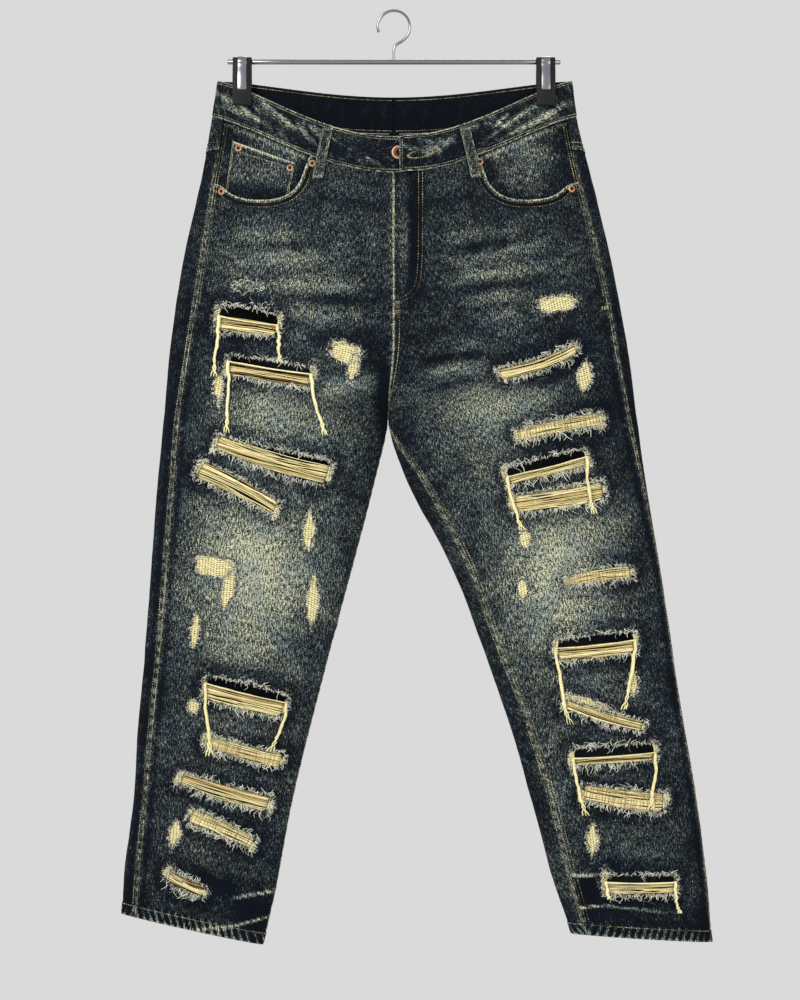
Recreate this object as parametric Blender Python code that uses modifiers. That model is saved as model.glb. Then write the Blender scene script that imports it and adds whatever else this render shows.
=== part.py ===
"""Ripped five-pocket jeans hanging by the waistband from a clip hanger.

Units are metres and +Z is up. The origin is the inner top of the hanger's hook.
The front of the jeans faces -Y. "right" and "left" are the wearer's sides, so
the right leg is at -X. Tables are in millimetres. "drop" is the height below
the corners of the waist, and x is the distance to the side of the middle.
"""

import math

import bmesh
import bpy
import numpy as np
from mathutils import Matrix, Vector

MM = 0.001
COLLECTION = "ripped_jeans_on_clip_hanger"

# Cloth and seams, in millimetres
CLOTH = 1.8
BAND_CLOTH = 2.8
SEAM_GAP = 0.3
EDGE_RADIUS = 3.4
BAND_PROUD = 0.6
BAND_HEIGHT = 42.0
HEM_HEIGHT = 15.0
HEM_PROUD = 0.7
WAIST_BELOW_HOOK = 80.0

# The waist dips towards the middle, and the dip dies out down the front
FRONT_DIP = 67.0
BACK_DIP = 16.0
DIP_POWER = 1.3
DIP_TOP = 44.0
DIP_END = 290.0

# Cut lines of each leg against drop: silhouette, seams and depths
LEG_COLUMNS = ("drop", "outer", "inner", "outseam", "inseam", "front", "back")
RIGHT_LEG = (
    (0, -204, 0, -193, 0, 30, 28),
    (44, -211, 0, -197, 0, 34, 33),
    (115, -224, 0, -208, 0, 39, 40),
    (184, -239, 0, -218, 0, 41, 46),
    (254, -252, 0, -229, 0, 41, 49),
    (324, -261, -1, -240, -1, 39, 46),
    (398, -268, -7, -251, -7, 35, 39),
    (463, -274, -22, -256, -22, 33, 34),
    (556, -281, -46, -264, -46, 30, 31),
    (648, -288, -71, -271, -71, 28, 29),
    (741, -296, -95, -280, -95, 26, 27),
    (834, -302, -118, -288, -118, 24, 25),
    (927, -312, -138, -296, -138, 22, 23),
    (983, -316, -152, -300, -152, 21, 22),
)
LEFT_LEG = (
    (0, 206, 0, 195, 0, 30, 28),
    (44, 212, 0, 200, 0, 34, 33),
    (115, 230, 0, 214, 0, 39, 40),
    (184, 246, 0, 231, 0, 41, 46),
    (254, 261, 0, 247, 0, 41, 49),
    (324, 273, -1, 259, -1, 39, 46),
    (398, 283, -7, 273, -7, 35, 39),
    (463, 292, 14, 287, 34, 33, 34),
    (556, 307, 63, 306, 84, 30, 31),
    (648, 321, 100, 320, 118, 28, 29),
    (741, 335, 132, 334, 154, 26, 27),
    (834, 351, 159, 350, 182, 24, 25),
    (927, 363, 184, 362, 206, 22, 23),
    (993, 369, 206, 368, 224, 21, 22),
)
LEGS = {"right": RIGHT_LEG, "left": LEFT_LEG}
HEM_TILT = {"right": 18.0, "left": 5.0}
HEM_TILT_START = 800.0
CROTCH_START = 290.0
CROTCH = 398.0
FORK = 432.0
MIDDLE_GAP = 0.2
MIDDLE_AT_CROTCH = -7.0
PINCH_TOP = 4.5
PINCH_END = 130.0

# Soft folds that stand in the cloth: face, x0, drop0, x1, drop1 of the fold's
# line, then its half width and its height
FOLDS = (
    ("front", 26, 140, 24, 250, 15, -3.5),
    ("front", 42, 150, 40, 260, 16, 2.5),
    ("front", -20, 400, -75, 520, 20, 4.0),
    ("front", 30, 385, 120, 360, 22, 3.0),
    ("front", -30, 385, -105, 360, 30, 2.5),
    ("front", 60, 470, 120, 620, 26, 3.0),
    ("front", -170, 560, -120, 700, 30, 3.0),
    ("front", 210, 560, 250, 720, 30, 3.0),
    ("front", -210, 955, -150, 940, 16, -3.5),
    ("front", 190, 930, 300, 935, 16, -3.0),
    ("back", 25, 330, 150, 380, 24, 4.0),
    ("back", -30, 335, -150, 375, 24, 4.0),
    ("back", -240, 600, -120, 590, 22, -4.0),
    ("back", -250, 660, -130, 675, 20, -3.5),
    ("back", 130, 610, 260, 585, 22, -4.0),
    ("back", 150, 680, 270, 665, 20, -3.5),
    ("back", -270, 930, -180, 945, 18, -3.0),
    ("back", 220, 945, 320, 925, 18, -3.0),
)

# Front pocket opening, measured on one side and mirrored
POCKET_EDGE = (
    (92, 78), (98, 92), (104, 106), (109, 120), (121, 133), (142, 140), (170, 139), (188, 133),
    (204, 121), (240, 112),
)

# Rips: middle, length along the rip, height across it, slope in degrees,
# share of the height that the loose cross yarns fill, and how many there are
RIP_COLUMNS = ("name", "leg", "x", "drop", "length", "height", "slope", "filled", "yarns")
RIPS = (
    ("rip_r1", "right", -168, 281, 68, 30, 9, 0.5, 3),
    ("rip_r2", "right", -143, 338, 94, 25, 9, 0.6, 3),
    ("rip_r3", "right", -140, 437, 132, 26, 16, 0.85, 4),
    ("rip_r4", "right", -180, 473, 98, 22, 27, 0.95, 4),
    ("rip_r5", "right", -172, 713, 92, 30, 14, 0.6, 4),
    ("rip_r6", "right", -173, 775, 88, 18, 15, 0.95, 3),
    ("rip_r7", "right", -195, 822, 104, 19, 17, 0.95, 3),
    ("rip_r8", "right", -199, 866, 78, 18, 24, 0.95, 3),
    ("rip_r9", "right", -240, 929, 44, 16, 24, 0.95, 3),
    ("rip_l1", "left", 166, 327, 92, 16, -19, 0.95, 3),
    ("rip_l2", "left", 190, 402, 96, 17, -11, 0.95, 3),
    ("rip_l3", "left", 176, 448, 92, 22, -14, 0.45, 3),
    ("rip_l4", "left", 190, 483, 102, 24, -9, 0.95, 4),
    ("rip_l5", "left", 237, 574, 72, 16, -8, 0.95, 3),
    ("rip_l6", "left", 233, 655, 88, 28, -6, 0.55, 3),
    ("rip_l7", "left", 242, 734, 92, 15, 17, 0.95, 3),
    ("rip_l8", "left", 254, 780, 92, 22, -4, 0.4, 2),
    ("rip_l9", "left", 265, 829, 92, 24, 8, 0.95, 4),
    ("rip_l10", "left", 285, 930, 78, 24, 0, 0.55, 3),
)

# Yarns that hang over the cloth from the two top corners of the open rips:
# name, rip, hang at its two ends, sideways drift of the two ends
HANGING = (
    ("hanging_yarn_r1", "rip_r1", 70, 44, -6, 2),
    ("hanging_yarn_r2", "rip_r2", 82, 70, -3, 16),
    ("hanging_yarn_r5", "rip_r5", 84, 56, 5, -18),
    ("hanging_yarn_l3", "rip_l3", 62, 66, 18, 8),
    ("hanging_yarn_l6", "rip_l6", 88, 80, 16, -12),
    ("hanging_yarn_l8", "rip_l8", 66, 66, 16, -3),
    ("hanging_yarn_l10", "rip_l10", 20, 36, 2, 3),
)
YARN_THICK = 1.8
LADDER_THICK = 1.2

# Belt loops on the front: top and bottom of the middle line
LOOP_WIDTH = 12.0
LOOP_CLOTH = 1.6
FRONT_LOOPS = {
    "belt_loop_front_right": ((-76, 56), (-88, 116)),
    "belt_loop_front_left": ((81, 55), (95, 115)),
}
BACK_LOOPS = {"belt_loop_side_right": -128, "belt_loop_side_left": 130, "belt_loop_back": 0}

YOKE_SIDE = 34.0
YOKE_MIDDLE = 70.0
BACK_POCKET_X = 104.0
BACK_POCKET_TOP = 138.0
BACK_POCKET_DEEP = 150.0
BACK_POCKET_POINT = 16.0
BACK_POCKET_HALF = 72.0
COIN_POCKET = ((-187, 70), (-114, 97), (-121, 128), (-192, 121))
FLY_END = 258.0
ZIP_HALF_WIDTH = 14.0

BUTTON_AT = (5.0, 86.0)
BUTTON_RADIUS = 8.0
RIVET_RADIUS = 4.2
RIVETS = {
    "rivet_pocket_right_inner": ("front", -94, 98),
    "rivet_pocket_right_outer": ("front", -199, 130),
    "rivet_pocket_left_inner": ("front", 99, 96),
    "rivet_pocket_left_outer": ("front", 205, 127),
    "rivet_coin_inner": ("coin", -120, 103),
    "rivet_coin_outer": ("coin", -180, 79),
}

# Small pieces, in millimetres
PANEL_GRID = {"front": (15, 14), "back": (12, 12)}
LEG_ROWS = 13
PANEL_GAP = 0.5
CUT_FROM = -80.0
CUT_TO = -1.0
FLY_LAP = 2.0
FLY_RAISE = 2.2
FLY_RAISED_TO = 4.0
FLY_LEVEL_FROM = 24.0
FLY_LAP_FADE = (70.0, 45.0)
FLY_RAISE_FADE = (10.0, -20.0)
BAND_END_RIGHT = 15.0
BAND_END_LEFT = 6.0
BAND_OVER_BUTTON = 6.4
BAND_RISES_FROM = 12.0
BAND_LEVEL_FROM = 36.0
BAND_EDGE_TURN = 0.3
BAND_SIDE_TURN = 0.45
MM_A_TURN = 208.0
FACING_END = 168.0
FACING_INNER = 90.0
POCKET_CLOTH = 1.4
COIN_BACK = -1.4
COIN_PROUD = -0.3
LOOP_STAND = 2.2
LOOP_TOP = 1.5
LOOP_PAST_BAND = 20.0
ZIP_THICK = 1.6
ZIP_ABOVE_END = 20.0
RIP_CORNERS = 12
RIP_WANDER = 0.08
YARN_GAP = 2.2
LADDER_END = 4.0
LADDER_GAP = 0.75
YARN_LIES = 0.9
BUTTON_STAND = 0.3
BUTTON_THICK = 2.6
BUTTON_BEVEL = 1.5
RIVET_STAND = 0.1
RIVET_THICK = 1.6
RIVET_BEVEL = 1.2

HOOK_RADIUS = 17.0
HOOK_WIRE = 1.7
HOOK_FROM = 200.0
HOOK_TO = -45.0
HOOK_NECK = ((9.0, 0.0, -34.0), (2.5, 0.0, -38.0), (0.0, 0.0, -43.0))
BAR_RADIUS = 3.0
BAR_DROP = 58.0
BAR_PAST_CLIP = 6.0
CLIP_X = 176.0
CLIP_WIDTH = 22.0
CLIP_REACH = 30.0
CLIP_WALL = 2.4
CLIP_THROAT = 8.0
CLIP_BEVEL = 0.8
CUTTER_SPARE = 5.0

DENIM = ("denim", (0.035, 0.048, 0.062, 1.0), 0.9, 0.0)
YARN = ("yarn", (0.66, 0.58, 0.38, 1.0), 0.9, 0.0)
COPPER = ("copper", (0.52, 0.24, 0.13, 1.0), 0.35, 1.0)
CLIP_PLASTIC = ("clip_plastic", (0.012, 0.012, 0.014, 1.0), 0.5, 0.0)
STEEL = ("hanger_steel", (0.6, 0.6, 0.62, 1.0), 0.25, 1.0)


def column(rows, names, name):
    """One named column of a table as an array."""
    return np.array([row[names.index(name)] for row in rows], dtype=float)


def smooth(value, low, high):
    """A smooth step from 0 at low to 1 at high."""
    part = np.clip((np.asarray(value, float) - low) / (high - low), 0.0, 1.0)
    return part * part * (3.0 - 2.0 * part)


def through(rows, names, name, drop):
    """Read a column at any drop, on a smooth curve through its rows."""
    knots = column(rows, names, "drop")
    values = column(rows, names, name)
    slopes = np.gradient(values, knots)
    drop = np.clip(np.asarray(drop, float), knots[0], knots[-1])
    at = np.clip(np.searchsorted(knots, drop, side="right") - 1, 0, len(knots) - 2)
    span = knots[at + 1] - knots[at]
    part = (drop - knots[at]) / span
    first = (1 + 2 * part) * (1 - part) ** 2 * values[at] + part * (1 - part) ** 2 * span * slopes[at]
    last = part**2 * (3 - 2 * part) * values[at + 1] - part**2 * (1 - part) * span * slopes[at + 1]
    return first + last


def leg_value(side, name, drop):
    """A column of one leg's table, with half the middle seam's gap kept open."""
    value = through(LEGS[side], LEG_COLUMNS, name, drop)
    if name in ("inner", "inseam"):
        middle = MIDDLE_AT_CROTCH * smooth(drop, CROTCH_START, CROTCH)
        value = np.where(np.asarray(drop) < CROTCH, middle, value)
        value = value + (MIDDLE_GAP if side == "left" else -MIDDLE_GAP)
    return value


def hem_drop(side):
    return float(LEGS[side][-1][0])


def closing(drop):
    """0 where both legs share one hollow, 1 where each leg is its own tube."""
    return smooth(drop, CROTCH_START, CROTCH)


def angle_at(side, drop, x):
    """The turn round the half section, 0 at the outer edge, at a distance x."""
    outer = leg_value(side, "outer", drop)
    inner = leg_value(side, "inner", drop)
    last = math.pi * (0.5 + 0.5 * closing(drop))
    cosine = 1.0 - (x - outer) / (inner - outer) * (1.0 - np.cos(last))
    return np.arccos(np.clip(cosine, -1.0, 1.0))


def last_angle(drop):
    return math.pi * (0.5 + 0.5 * closing(drop))


def fold_height(face, x, drop):
    """Sum of the soft folds: a bell across each fold's line, fading at its ends."""
    total = np.zeros(np.broadcast(x, drop).shape)
    for name, x0, drop0, x1, drop1, half_width, height in FOLDS:
        if name != face:
            continue
        run = np.array([x1 - x0, drop1 - drop0], float)
        length = float(np.hypot(*run))
        along = ((x - x0) * run[0] + (drop - drop0) * run[1]) / length
        across = ((x - x0) * run[1] - (drop - drop0) * run[0]) / length
        ends = smooth(along, -0.25 * length, 0.3 * length) * (1 - smooth(along, 0.7 * length, 1.25 * length))
        total = total + height * np.exp(-((across / half_width) ** 2)) * ends
    return total


def skin(side, face, angle, drop):
    """Outer surface of the cloth, in millimetres, at a turn and a drop.

    Across, the section is a flattened round: x follows 1 - cos(turn) from the
    outer edge, and the depth follows its sine, with a small round of
    EDGE_RADIUS at the edges. Near the waist the clips pinch the edges flat.
    Down, the drop becomes a height, with the waist's dip and the hem's tilt.
    """
    angle, drop = np.broadcast_arrays(np.asarray(angle, float), np.asarray(drop, float))
    outer = leg_value(side, "outer", drop)
    inner = leg_value(side, "inner", drop)
    depth = leg_value(side, face, drop)
    last = last_angle(drop)
    share = (1.0 - np.cos(angle)) / (1.0 - np.cos(last))
    x = outer + (inner - outer) * share
    width = np.abs(inner - outer)
    edge = np.clip(share * width / EDGE_RADIUS, 0.0, 1.0)
    near_inner = np.clip((1.0 - share) * width / EDGE_RADIUS, 0.0, 1.0)
    closed = closing(drop) ** 4
    rounding = np.sqrt(1 - (1 - edge) ** 2)
    rounding = rounding * ((1 - closed) + closed * np.sqrt(1 - (1 - near_inner) ** 2))
    power = PINCH_TOP + (1.0 - PINCH_TOP) * smooth(drop, 0.0, PINCH_END)
    sine = np.clip(np.sin(angle), 0.0, 1.0)
    swell = sine**power
    y = EDGE_RADIUS * rounding + (depth - EDGE_RADIUS) * swell
    y = y + fold_height(face, x, drop) * sine
    dip = FRONT_DIP if face == "front" else BACK_DIP
    fade = 1.0 - smooth(drop, DIP_TOP, DIP_END)
    inward = np.clip(1 - np.abs(1 - np.abs(x - outer) / np.abs(outer)), 0, 1)
    dipped = dip * np.sin(0.5 * math.pi * inward) ** DIP_POWER
    hem = smooth(drop, HEM_TILT_START, hem_drop(side)) * HEM_TILT[side] * (2 * share - 1)
    hem = hem if side == "right" else -hem
    z = -WAIST_BELOW_HOOK - drop - dipped * fade - hem
    sign = -1.0 if face == "front" else 1.0
    return np.stack([x, sign * y, z], axis=-1)


def outward(side, face, angle, drop):
    """Unit normals of the skin, pointing out, from small steps both ways."""
    step_turn = 0.004
    low = np.maximum(angle - step_turn, 0.001)
    high = np.minimum(angle + step_turn, last_angle(drop) - 0.001 * closing(drop))
    across = skin(side, face, high, drop) - skin(side, face, low, drop)
    down = skin(side, face, angle, drop + 1.0) - skin(side, face, angle, drop - 1.0)
    normal = np.cross(down, across)
    normal /= np.maximum(np.linalg.norm(normal, axis=-1, keepdims=True), 1e-12)
    outward_y = -1.0 if face == "front" else 1.0
    outward_x = np.sign(leg_value(side, "outer", drop))
    middle = np.cos(angle)[..., None] * np.stack([outward_x, 0 * outward_x, 0 * outward_x], axis=-1)
    guess = middle + np.stack([0 * angle, outward_y * np.sin(angle), 0 * angle], axis=-1)
    flip = np.sign(np.sum(normal * guess, axis=-1, keepdims=True))
    return normal * np.where(flip == 0, 1.0, flip)


def moved(side, face, angle, drop, out):
    """The skin moved out by a distance, or in where it is negative."""
    angle, drop = np.broadcast_arrays(np.asarray(angle, float), np.asarray(drop, float))
    shift = np.asarray(out, float)
    shift = shift[..., None] if shift.ndim else shift
    return skin(side, face, angle, drop) + outward(side, face, angle, drop) * shift


def nominal_drop(side, face, x, below):
    """The drop whose point lies a measured distance below the waist corners."""
    drop = np.asarray(below, float).copy()
    for _ in range(30):
        angle = angle_at(side, drop, x)
        height = -WAIST_BELOW_HOOK - skin(side, face, angle, drop)[..., 2]
        drop = np.clip(drop + 0.6 * (below - height), -2.0, hem_drop(side))
    return drop


def on_cloth(side, face, x, below, out):
    """A point that lies on a panel, from the place seen square from the front."""
    x, below = np.broadcast_arrays(np.asarray(x, float), np.asarray(below, float))
    drop = nominal_drop(side, face, x, below)
    return moved(side, face, angle_at(side, drop, x), drop, out)


def linked(obj, slot):
    """Put an object in the part's collection and give it its material."""
    name, colour, roughness, metallic = slot
    material = bpy.data.materials.get(name) or bpy.data.materials.new(name)
    material.use_nodes = True
    shader = material.node_tree.nodes["Principled BSDF"]
    shader.inputs["Base Color"].default_value = colour
    shader.inputs["Roughness"].default_value = roughness
    shader.inputs["Metallic"].default_value = metallic
    obj.data.materials.clear()
    obj.data.materials.append(material)
    for owner in list(obj.users_collection):
        owner.objects.unlink(obj)
    bpy.data.collections[COLLECTION].objects.link(obj)
    return obj


def wall(name, slot, outside, inside, keep=None):
    """Close two matching grids of points, in millimetres, into one solid.

    keep marks the grid cells that hold cloth; rims are added round them.
    """
    rows, columns = outside.shape[:2]
    keep = np.ones((rows - 1, columns - 1), bool) if keep is None else keep
    points = np.concatenate([outside.reshape(-1, 3), inside.reshape(-1, 3)]) * MM
    other = rows * columns
    faces = []
    for r, c in zip(*np.nonzero(keep)):
        a = r * columns + c
        b, d, e = a + 1, a + columns, a + columns + 1
        faces.append((a, d, e, b))
        faces.append((a + other, b + other, e + other, d + other))
        if r == 0 or not keep[r - 1, c]:
            faces.append((a, b, b + other, a + other))
        if r == rows - 2 or not keep[r + 1, c]:
            faces.append((d, d + other, e + other, e))
        if c == 0 or not keep[r, c - 1]:
            faces.append((a, a + other, d + other, d))
        if c == columns - 2 or not keep[r, c + 1]:
            faces.append((b, e, e + other, b + other))
    mesh = bpy.data.meshes.new(name)
    mesh.from_pydata(points.tolist(), [], faces)
    shape = bmesh.new()
    shape.from_mesh(mesh)
    bmesh.ops.delete(shape, geom=[v for v in shape.verts if not v.link_faces], context="VERTS")
    bmesh.ops.recalc_face_normals(shape, faces=shape.faces)
    shape.to_mesh(mesh)
    shape.free()
    mesh.shade_smooth()
    mesh.set_sharp_from_angle(angle=math.radians(40))
    return linked(bpy.data.objects.new(name, mesh), slot)


def cutter_object(name, outline, y0, y1):
    """A prism over an outline of (x, z) points in millimetres, as a hidden cutter."""
    shape = bmesh.new()
    front = [shape.verts.new((x * MM, y0 * MM, z * MM)) for x, z in outline]
    face = shape.faces.new(front)
    pushed = bmesh.ops.extrude_face_region(shape, geom=[face])
    moved_verts = [item for item in pushed["geom"] if isinstance(item, bmesh.types.BMVert)]
    bmesh.ops.translate(shape, verts=moved_verts, vec=(0, (y1 - y0) * MM, 0))
    bmesh.ops.recalc_face_normals(shape, faces=shape.faces)
    mesh = bpy.data.meshes.new(name)
    shape.to_mesh(mesh)
    shape.free()
    cutter = bpy.data.objects.new(name, mesh)
    cutter.hide_render = True
    cutter.display_type = "WIRE"
    bpy.data.collections["cutters"].objects.link(cutter)
    return cutter


def cut(obj, cutter):
    """Take the cutter out of an object with a Boolean that stays on it."""
    boolean = obj.modifiers.new(cutter.name, "BOOLEAN")
    boolean.operation = "DIFFERENCE"
    boolean.object = cutter


def around(side, face, angle, drop, out):
    """The moved skin, where a turn past an edge runs on over the other face."""
    angle, drop, out = np.broadcast_arrays(
        np.asarray(angle, float), np.asarray(drop, float), np.asarray(out, float)
    )
    other = "back" if face == "front" else "front"
    last = last_angle(drop)
    own = moved(side, face, np.clip(angle, 0, None), drop, out)
    before = moved(side, other, np.clip(-angle, 0, None), drop, out)
    past = (angle > last) & (closing(drop) > 0.999)
    after = moved(side, other, np.clip(2 * last - angle, 0, None), drop, out)
    points = np.where((angle < 0)[..., None], before, own)
    return np.where(past[..., None], after, points)


def seam_angles(side, face, drop):
    """Where a panel starts at the outseam and stops at the middle or the inseam.

    Both seams are read on the front, and the back runs round the edge to them.
    """
    width = np.abs(leg_value(side, "inner", drop) - leg_value(side, "outer", drop))
    depth = leg_value(side, "front", drop)
    last = last_angle(drop)
    outseam = angle_at(side, drop, leg_value(side, "outseam", drop))
    inseam = np.minimum(angle_at(side, drop, leg_value(side, "inseam", drop)), last)
    half = 0.5 * PANEL_GAP
    outer_gap = half / np.hypot(0.5 * width * np.sin(outseam), depth * np.cos(outseam))
    closed = closing(drop)
    round_gap = half / np.hypot(0.5 * width * np.sin(inseam), depth * np.cos(inseam))
    inner_gap = round_gap * closed + half / width * (1 - closed)
    if face == "front":
        return outseam + outer_gap, inseam - inner_gap
    return -outseam + outer_gap, last + (last - inseam) - inner_gap


def fly_lap(drop):
    """How far the left front laps past the middle, and how far it is raised."""
    past = FLY_LAP * (1 - smooth(drop, FLY_END - FLY_LAP_FADE[0], FLY_END - FLY_LAP_FADE[1]))
    raised = FLY_RAISE * (1 - smooth(drop, FLY_END - FLY_RAISE_FADE[0], FLY_END - FLY_RAISE_FADE[1]))
    return past, raised


def panel_grid(side, face):
    """Drops and turns of a panel's points, from its top seam to its hem."""
    rows, columns = PANEL_GRID[face]
    hem = hem_drop(side)
    share = np.linspace(0, 1, columns + 1)[None, :]
    top = BAND_HEIGHT + SEAM_GAP + 0 * share
    if face == "back":
        top = top + YOKE_SIDE + (YOKE_MIDDLE - YOKE_SIDE) * share + SEAM_GAP
    upper = top + (FORK - top) * np.linspace(0, 1, rows)[:, None]
    lower = FORK + (hem - HEM_HEIGHT - FORK) * np.linspace(0, 1, LEG_ROWS)[1:, None]
    turned = hem - HEM_HEIGHT + 1.0 + 0 * share
    drop = np.concatenate([upper, lower + 0 * share, turned, hem + 0 * share])
    start, stop = seam_angles(side, face, drop)
    if face == "front" and side == "left":
        past, _ = fly_lap(drop)
        stop = stop + past / np.abs(leg_value(side, "outer", drop))
    return drop, start + (stop - start) * share


def leg_panel(side, face):
    """One front or back with its hem turned up, and the fly raised on the left."""
    drop, angle = panel_grid(side, face)
    proud = np.zeros(drop.shape)
    proud[-2:] = HEM_PROUD
    lift = proud.copy()
    if face == "front" and side == "left":
        _, raised = fly_lap(drop)
        x = skin(side, face, angle, drop)[..., 0]
        lift += raised * (1 - smooth(x, FLY_RAISED_TO, FLY_LEVEL_FROM))
    outside = around(side, face, angle, drop, lift)
    inside = around(side, face, angle, drop, lift - CLOTH - 2 * proud)
    return wall(f"{face}_{side}", DENIM, outside, inside)


def yoke(side):
    """The V-shaped piece between the waistband and the back."""
    share = np.linspace(0, 1, 13)[None, :]
    top = BAND_HEIGHT + SEAM_GAP + 0 * share
    bottom = BAND_HEIGHT + YOKE_SIDE + (YOKE_MIDDLE - YOKE_SIDE) * share
    drop = top + (bottom - top) * np.linspace(0, 1, 4)[:, None]
    start, stop = seam_angles(side, "back", drop)
    angle = start + (stop - start) * share
    outside = around(side, "back", angle, drop, 0.0)
    inside = around(side, "back", angle, drop, -CLOTH)
    return wall(f"yoke_{side}", DENIM, outside, inside)


def waistband(side):
    """Half of the band, from the middle back round the side to the middle front.

    The turn runs from the back's middle, over the edge, to the front's end. The
    left end lies over the button, and the right end runs under it.
    """
    drop = np.linspace(0.0, BAND_HEIGHT, 4)[:, None]
    middle = 0.5 * math.pi
    back_end = -middle + 0.5 * SEAM_GAP / MM_A_TURN
    end_x = BAND_END_LEFT if side == "left" else BAND_END_RIGHT
    front_end = middle + (-end_x if side == "left" else end_x) / MM_A_TURN
    behind = np.linspace(back_end, -BAND_SIDE_TURN, 9)
    edge = np.linspace(-BAND_EDGE_TURN, BAND_EDGE_TURN, 9)
    ahead = np.linspace(BAND_SIDE_TURN, front_end, 13)
    turns = np.concatenate([behind, edge, ahead])[None, :]
    outs = np.full((4, turns.size), BAND_PROUD)
    if side == "left":
        x = skin(side, "front", np.clip(turns, 0, None), drop)[..., 0]
        rise = smooth(x, BAND_END_LEFT + BAND_RISES_FROM, BAND_END_LEFT + BAND_LEVEL_FROM)
        over = (turns > 0) * (1 - rise)
        outs = outs + BAND_OVER_BUTTON * over
    outside = around(side, "front", turns, drop, outs)
    inside = around(side, "front", turns, drop, outs - BAND_CLOTH)
    return wall(f"waistband_{side}", DENIM, outside, inside)


def sheet_on(name, slot, side, face, corners, grid, inner, outer):
    """A four-cornered piece on a panel: its corners are (x, drop) in order."""
    rows, columns = grid
    a, b, c, d = (np.array(corner, float) for corner in corners)
    u = np.linspace(0, 1, columns + 1)[None, :, None]
    v = np.linspace(0, 1, rows + 1)[:, None, None]
    flat = (1 - v) * ((1 - u) * a + u * b) + v * ((1 - u) * d + u * c)
    outside = on_cloth(side, face, flat[..., 0], flat[..., 1], outer)
    inside = on_cloth(side, face, flat[..., 0], flat[..., 1], inner)
    return wall(name, slot, outside, inside)


def on_pattern(side, face, x, drop, out):
    """A point on a panel from its drop along the cloth, the dip left out."""
    x, drop = np.broadcast_arrays(np.asarray(x, float), np.asarray(drop, float))
    return moved(side, face, angle_at(side, drop, x), drop, out)


def pocket_outline(side):
    """The pocket mouth as a closed outline of (x, z) up to the waist seam."""
    sign = -1 if side == "right" else 1
    edge = [(sign * x, -WAIST_BELOW_HOOK - drop) for x, drop in POCKET_EDGE]
    return edge + [(sign * 240, -WAIST_BELOW_HOOK + 10), (sign * 92, -WAIST_BELOW_HOOK + 10)]


def pocket_facing(side):
    """The denim behind the pocket mouth: the front's own points, moved in."""
    drop, angle = panel_grid(side, "front")
    rows = int(np.sum(drop[:, 0] < FACING_END)) + 1
    x = skin(side, "front", angle, drop)[..., 0]
    columns = int(np.sum(np.abs(x[0]) > FACING_INNER)) + 1
    drop = drop[:rows, :columns]
    angle = angle[:rows, :columns]
    deep = CLOTH + SEAM_GAP
    outside = around(side, "front", angle, drop, -deep)
    inside = around(side, "front", angle, drop, -deep - POCKET_CLOTH)
    return wall(f"pocket_facing_{side}", DENIM, outside, inside)


def back_pocket(side):
    """A patch pocket: straight top, sides that draw in, a shallow point below."""
    sign = -1 if side == "right" else 1
    u = np.linspace(-1, 1, 7)[None, :]
    v = np.linspace(0, 1, 7)[:, None]
    half = BACK_POCKET_HALF * (1 - 0.08 * v)
    bottom = BACK_POCKET_TOP + BACK_POCKET_DEEP - BACK_POCKET_POINT * np.abs(u)
    x = sign * BACK_POCKET_X + u * half
    drop = BACK_POCKET_TOP + v * (bottom - BACK_POCKET_TOP) + 0 * x
    outside = on_pattern(side, "back", x, drop, SEAM_GAP + POCKET_CLOTH)
    inside = on_pattern(side, "back", x, drop, SEAM_GAP)
    return wall(f"back_pocket_{side}", DENIM, outside, inside)


def belt_loop(name, side, face, top, bottom, place):
    """A strip tacked at both ends that stands off the waistband between them."""
    v = np.linspace(0, 1, 8)[:, None]
    u = np.array([[-0.5, 0.5]])
    x = top[0] + (bottom[0] - top[0]) * v + u * LOOP_WIDTH
    drop = top[1] + (bottom[1] - top[1]) * v + 0 * x
    stand = BAND_PROUD + SEAM_GAP + LOOP_STAND * np.sin(math.pi * v) + 0 * x
    outside = place(side, face, x, drop, stand + LOOP_CLOTH)
    inside = place(side, face, x, drop, stand)
    return wall(name, DENIM, outside, inside)


def belt_loops():
    for name, (top, bottom) in FRONT_LOOPS.items():
        side = "right" if top[0] < 0 else "left"
        belt_loop(name, side, "front", top, bottom, on_cloth)
    for name, x in BACK_LOOPS.items():
        side = "right" if x < 0 else "left"
        place = on_pattern if x else middle_back
        belt_loop(name, side, "back", (x, LOOP_TOP), (x, BAND_HEIGHT + LOOP_PAST_BAND), place)


def middle_back(side, face, x, drop, out):
    """A point over the middle back seam, where both halves meet level."""
    point = on_pattern(side, face, 0 * x + 0.01, drop, out)
    point[..., 0] = x
    return point


def zip_strip():
    """The closed zip's tape behind the fly, from the waistband to its end."""
    drop = np.linspace(BAND_HEIGHT + 2, FLY_END - ZIP_ABOVE_END, 8)[:, None]
    share = np.linspace(-1, 1, 5)[None, :]
    turn = 0.5 * math.pi + share * ZIP_HALF_WIDTH / MM_A_TURN
    deep = CLOTH + 2 * SEAM_GAP
    outside = moved("right", "front", turn, drop, -deep)
    inside = moved("right", "front", turn, drop, -deep - ZIP_THICK)
    return wall("zip", COPPER, outside, inside)


def rip_frame(rip):
    """A rip's row as a dictionary with the cosine and sine of its slope."""
    row = dict(zip(RIP_COLUMNS, rip))
    row["cos"] = math.cos(math.radians(row["slope"]))
    row["sin"] = math.sin(math.radians(row["slope"]))
    return row


def rip_point(row, along, across):
    """Turn lengths along and across a rip into x and drop as seen in front."""
    x = row["x"] + along * row["cos"] - across * row["sin"]
    drop = row["drop"] + along * row["sin"] + across * row["cos"]
    return x, drop


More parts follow.
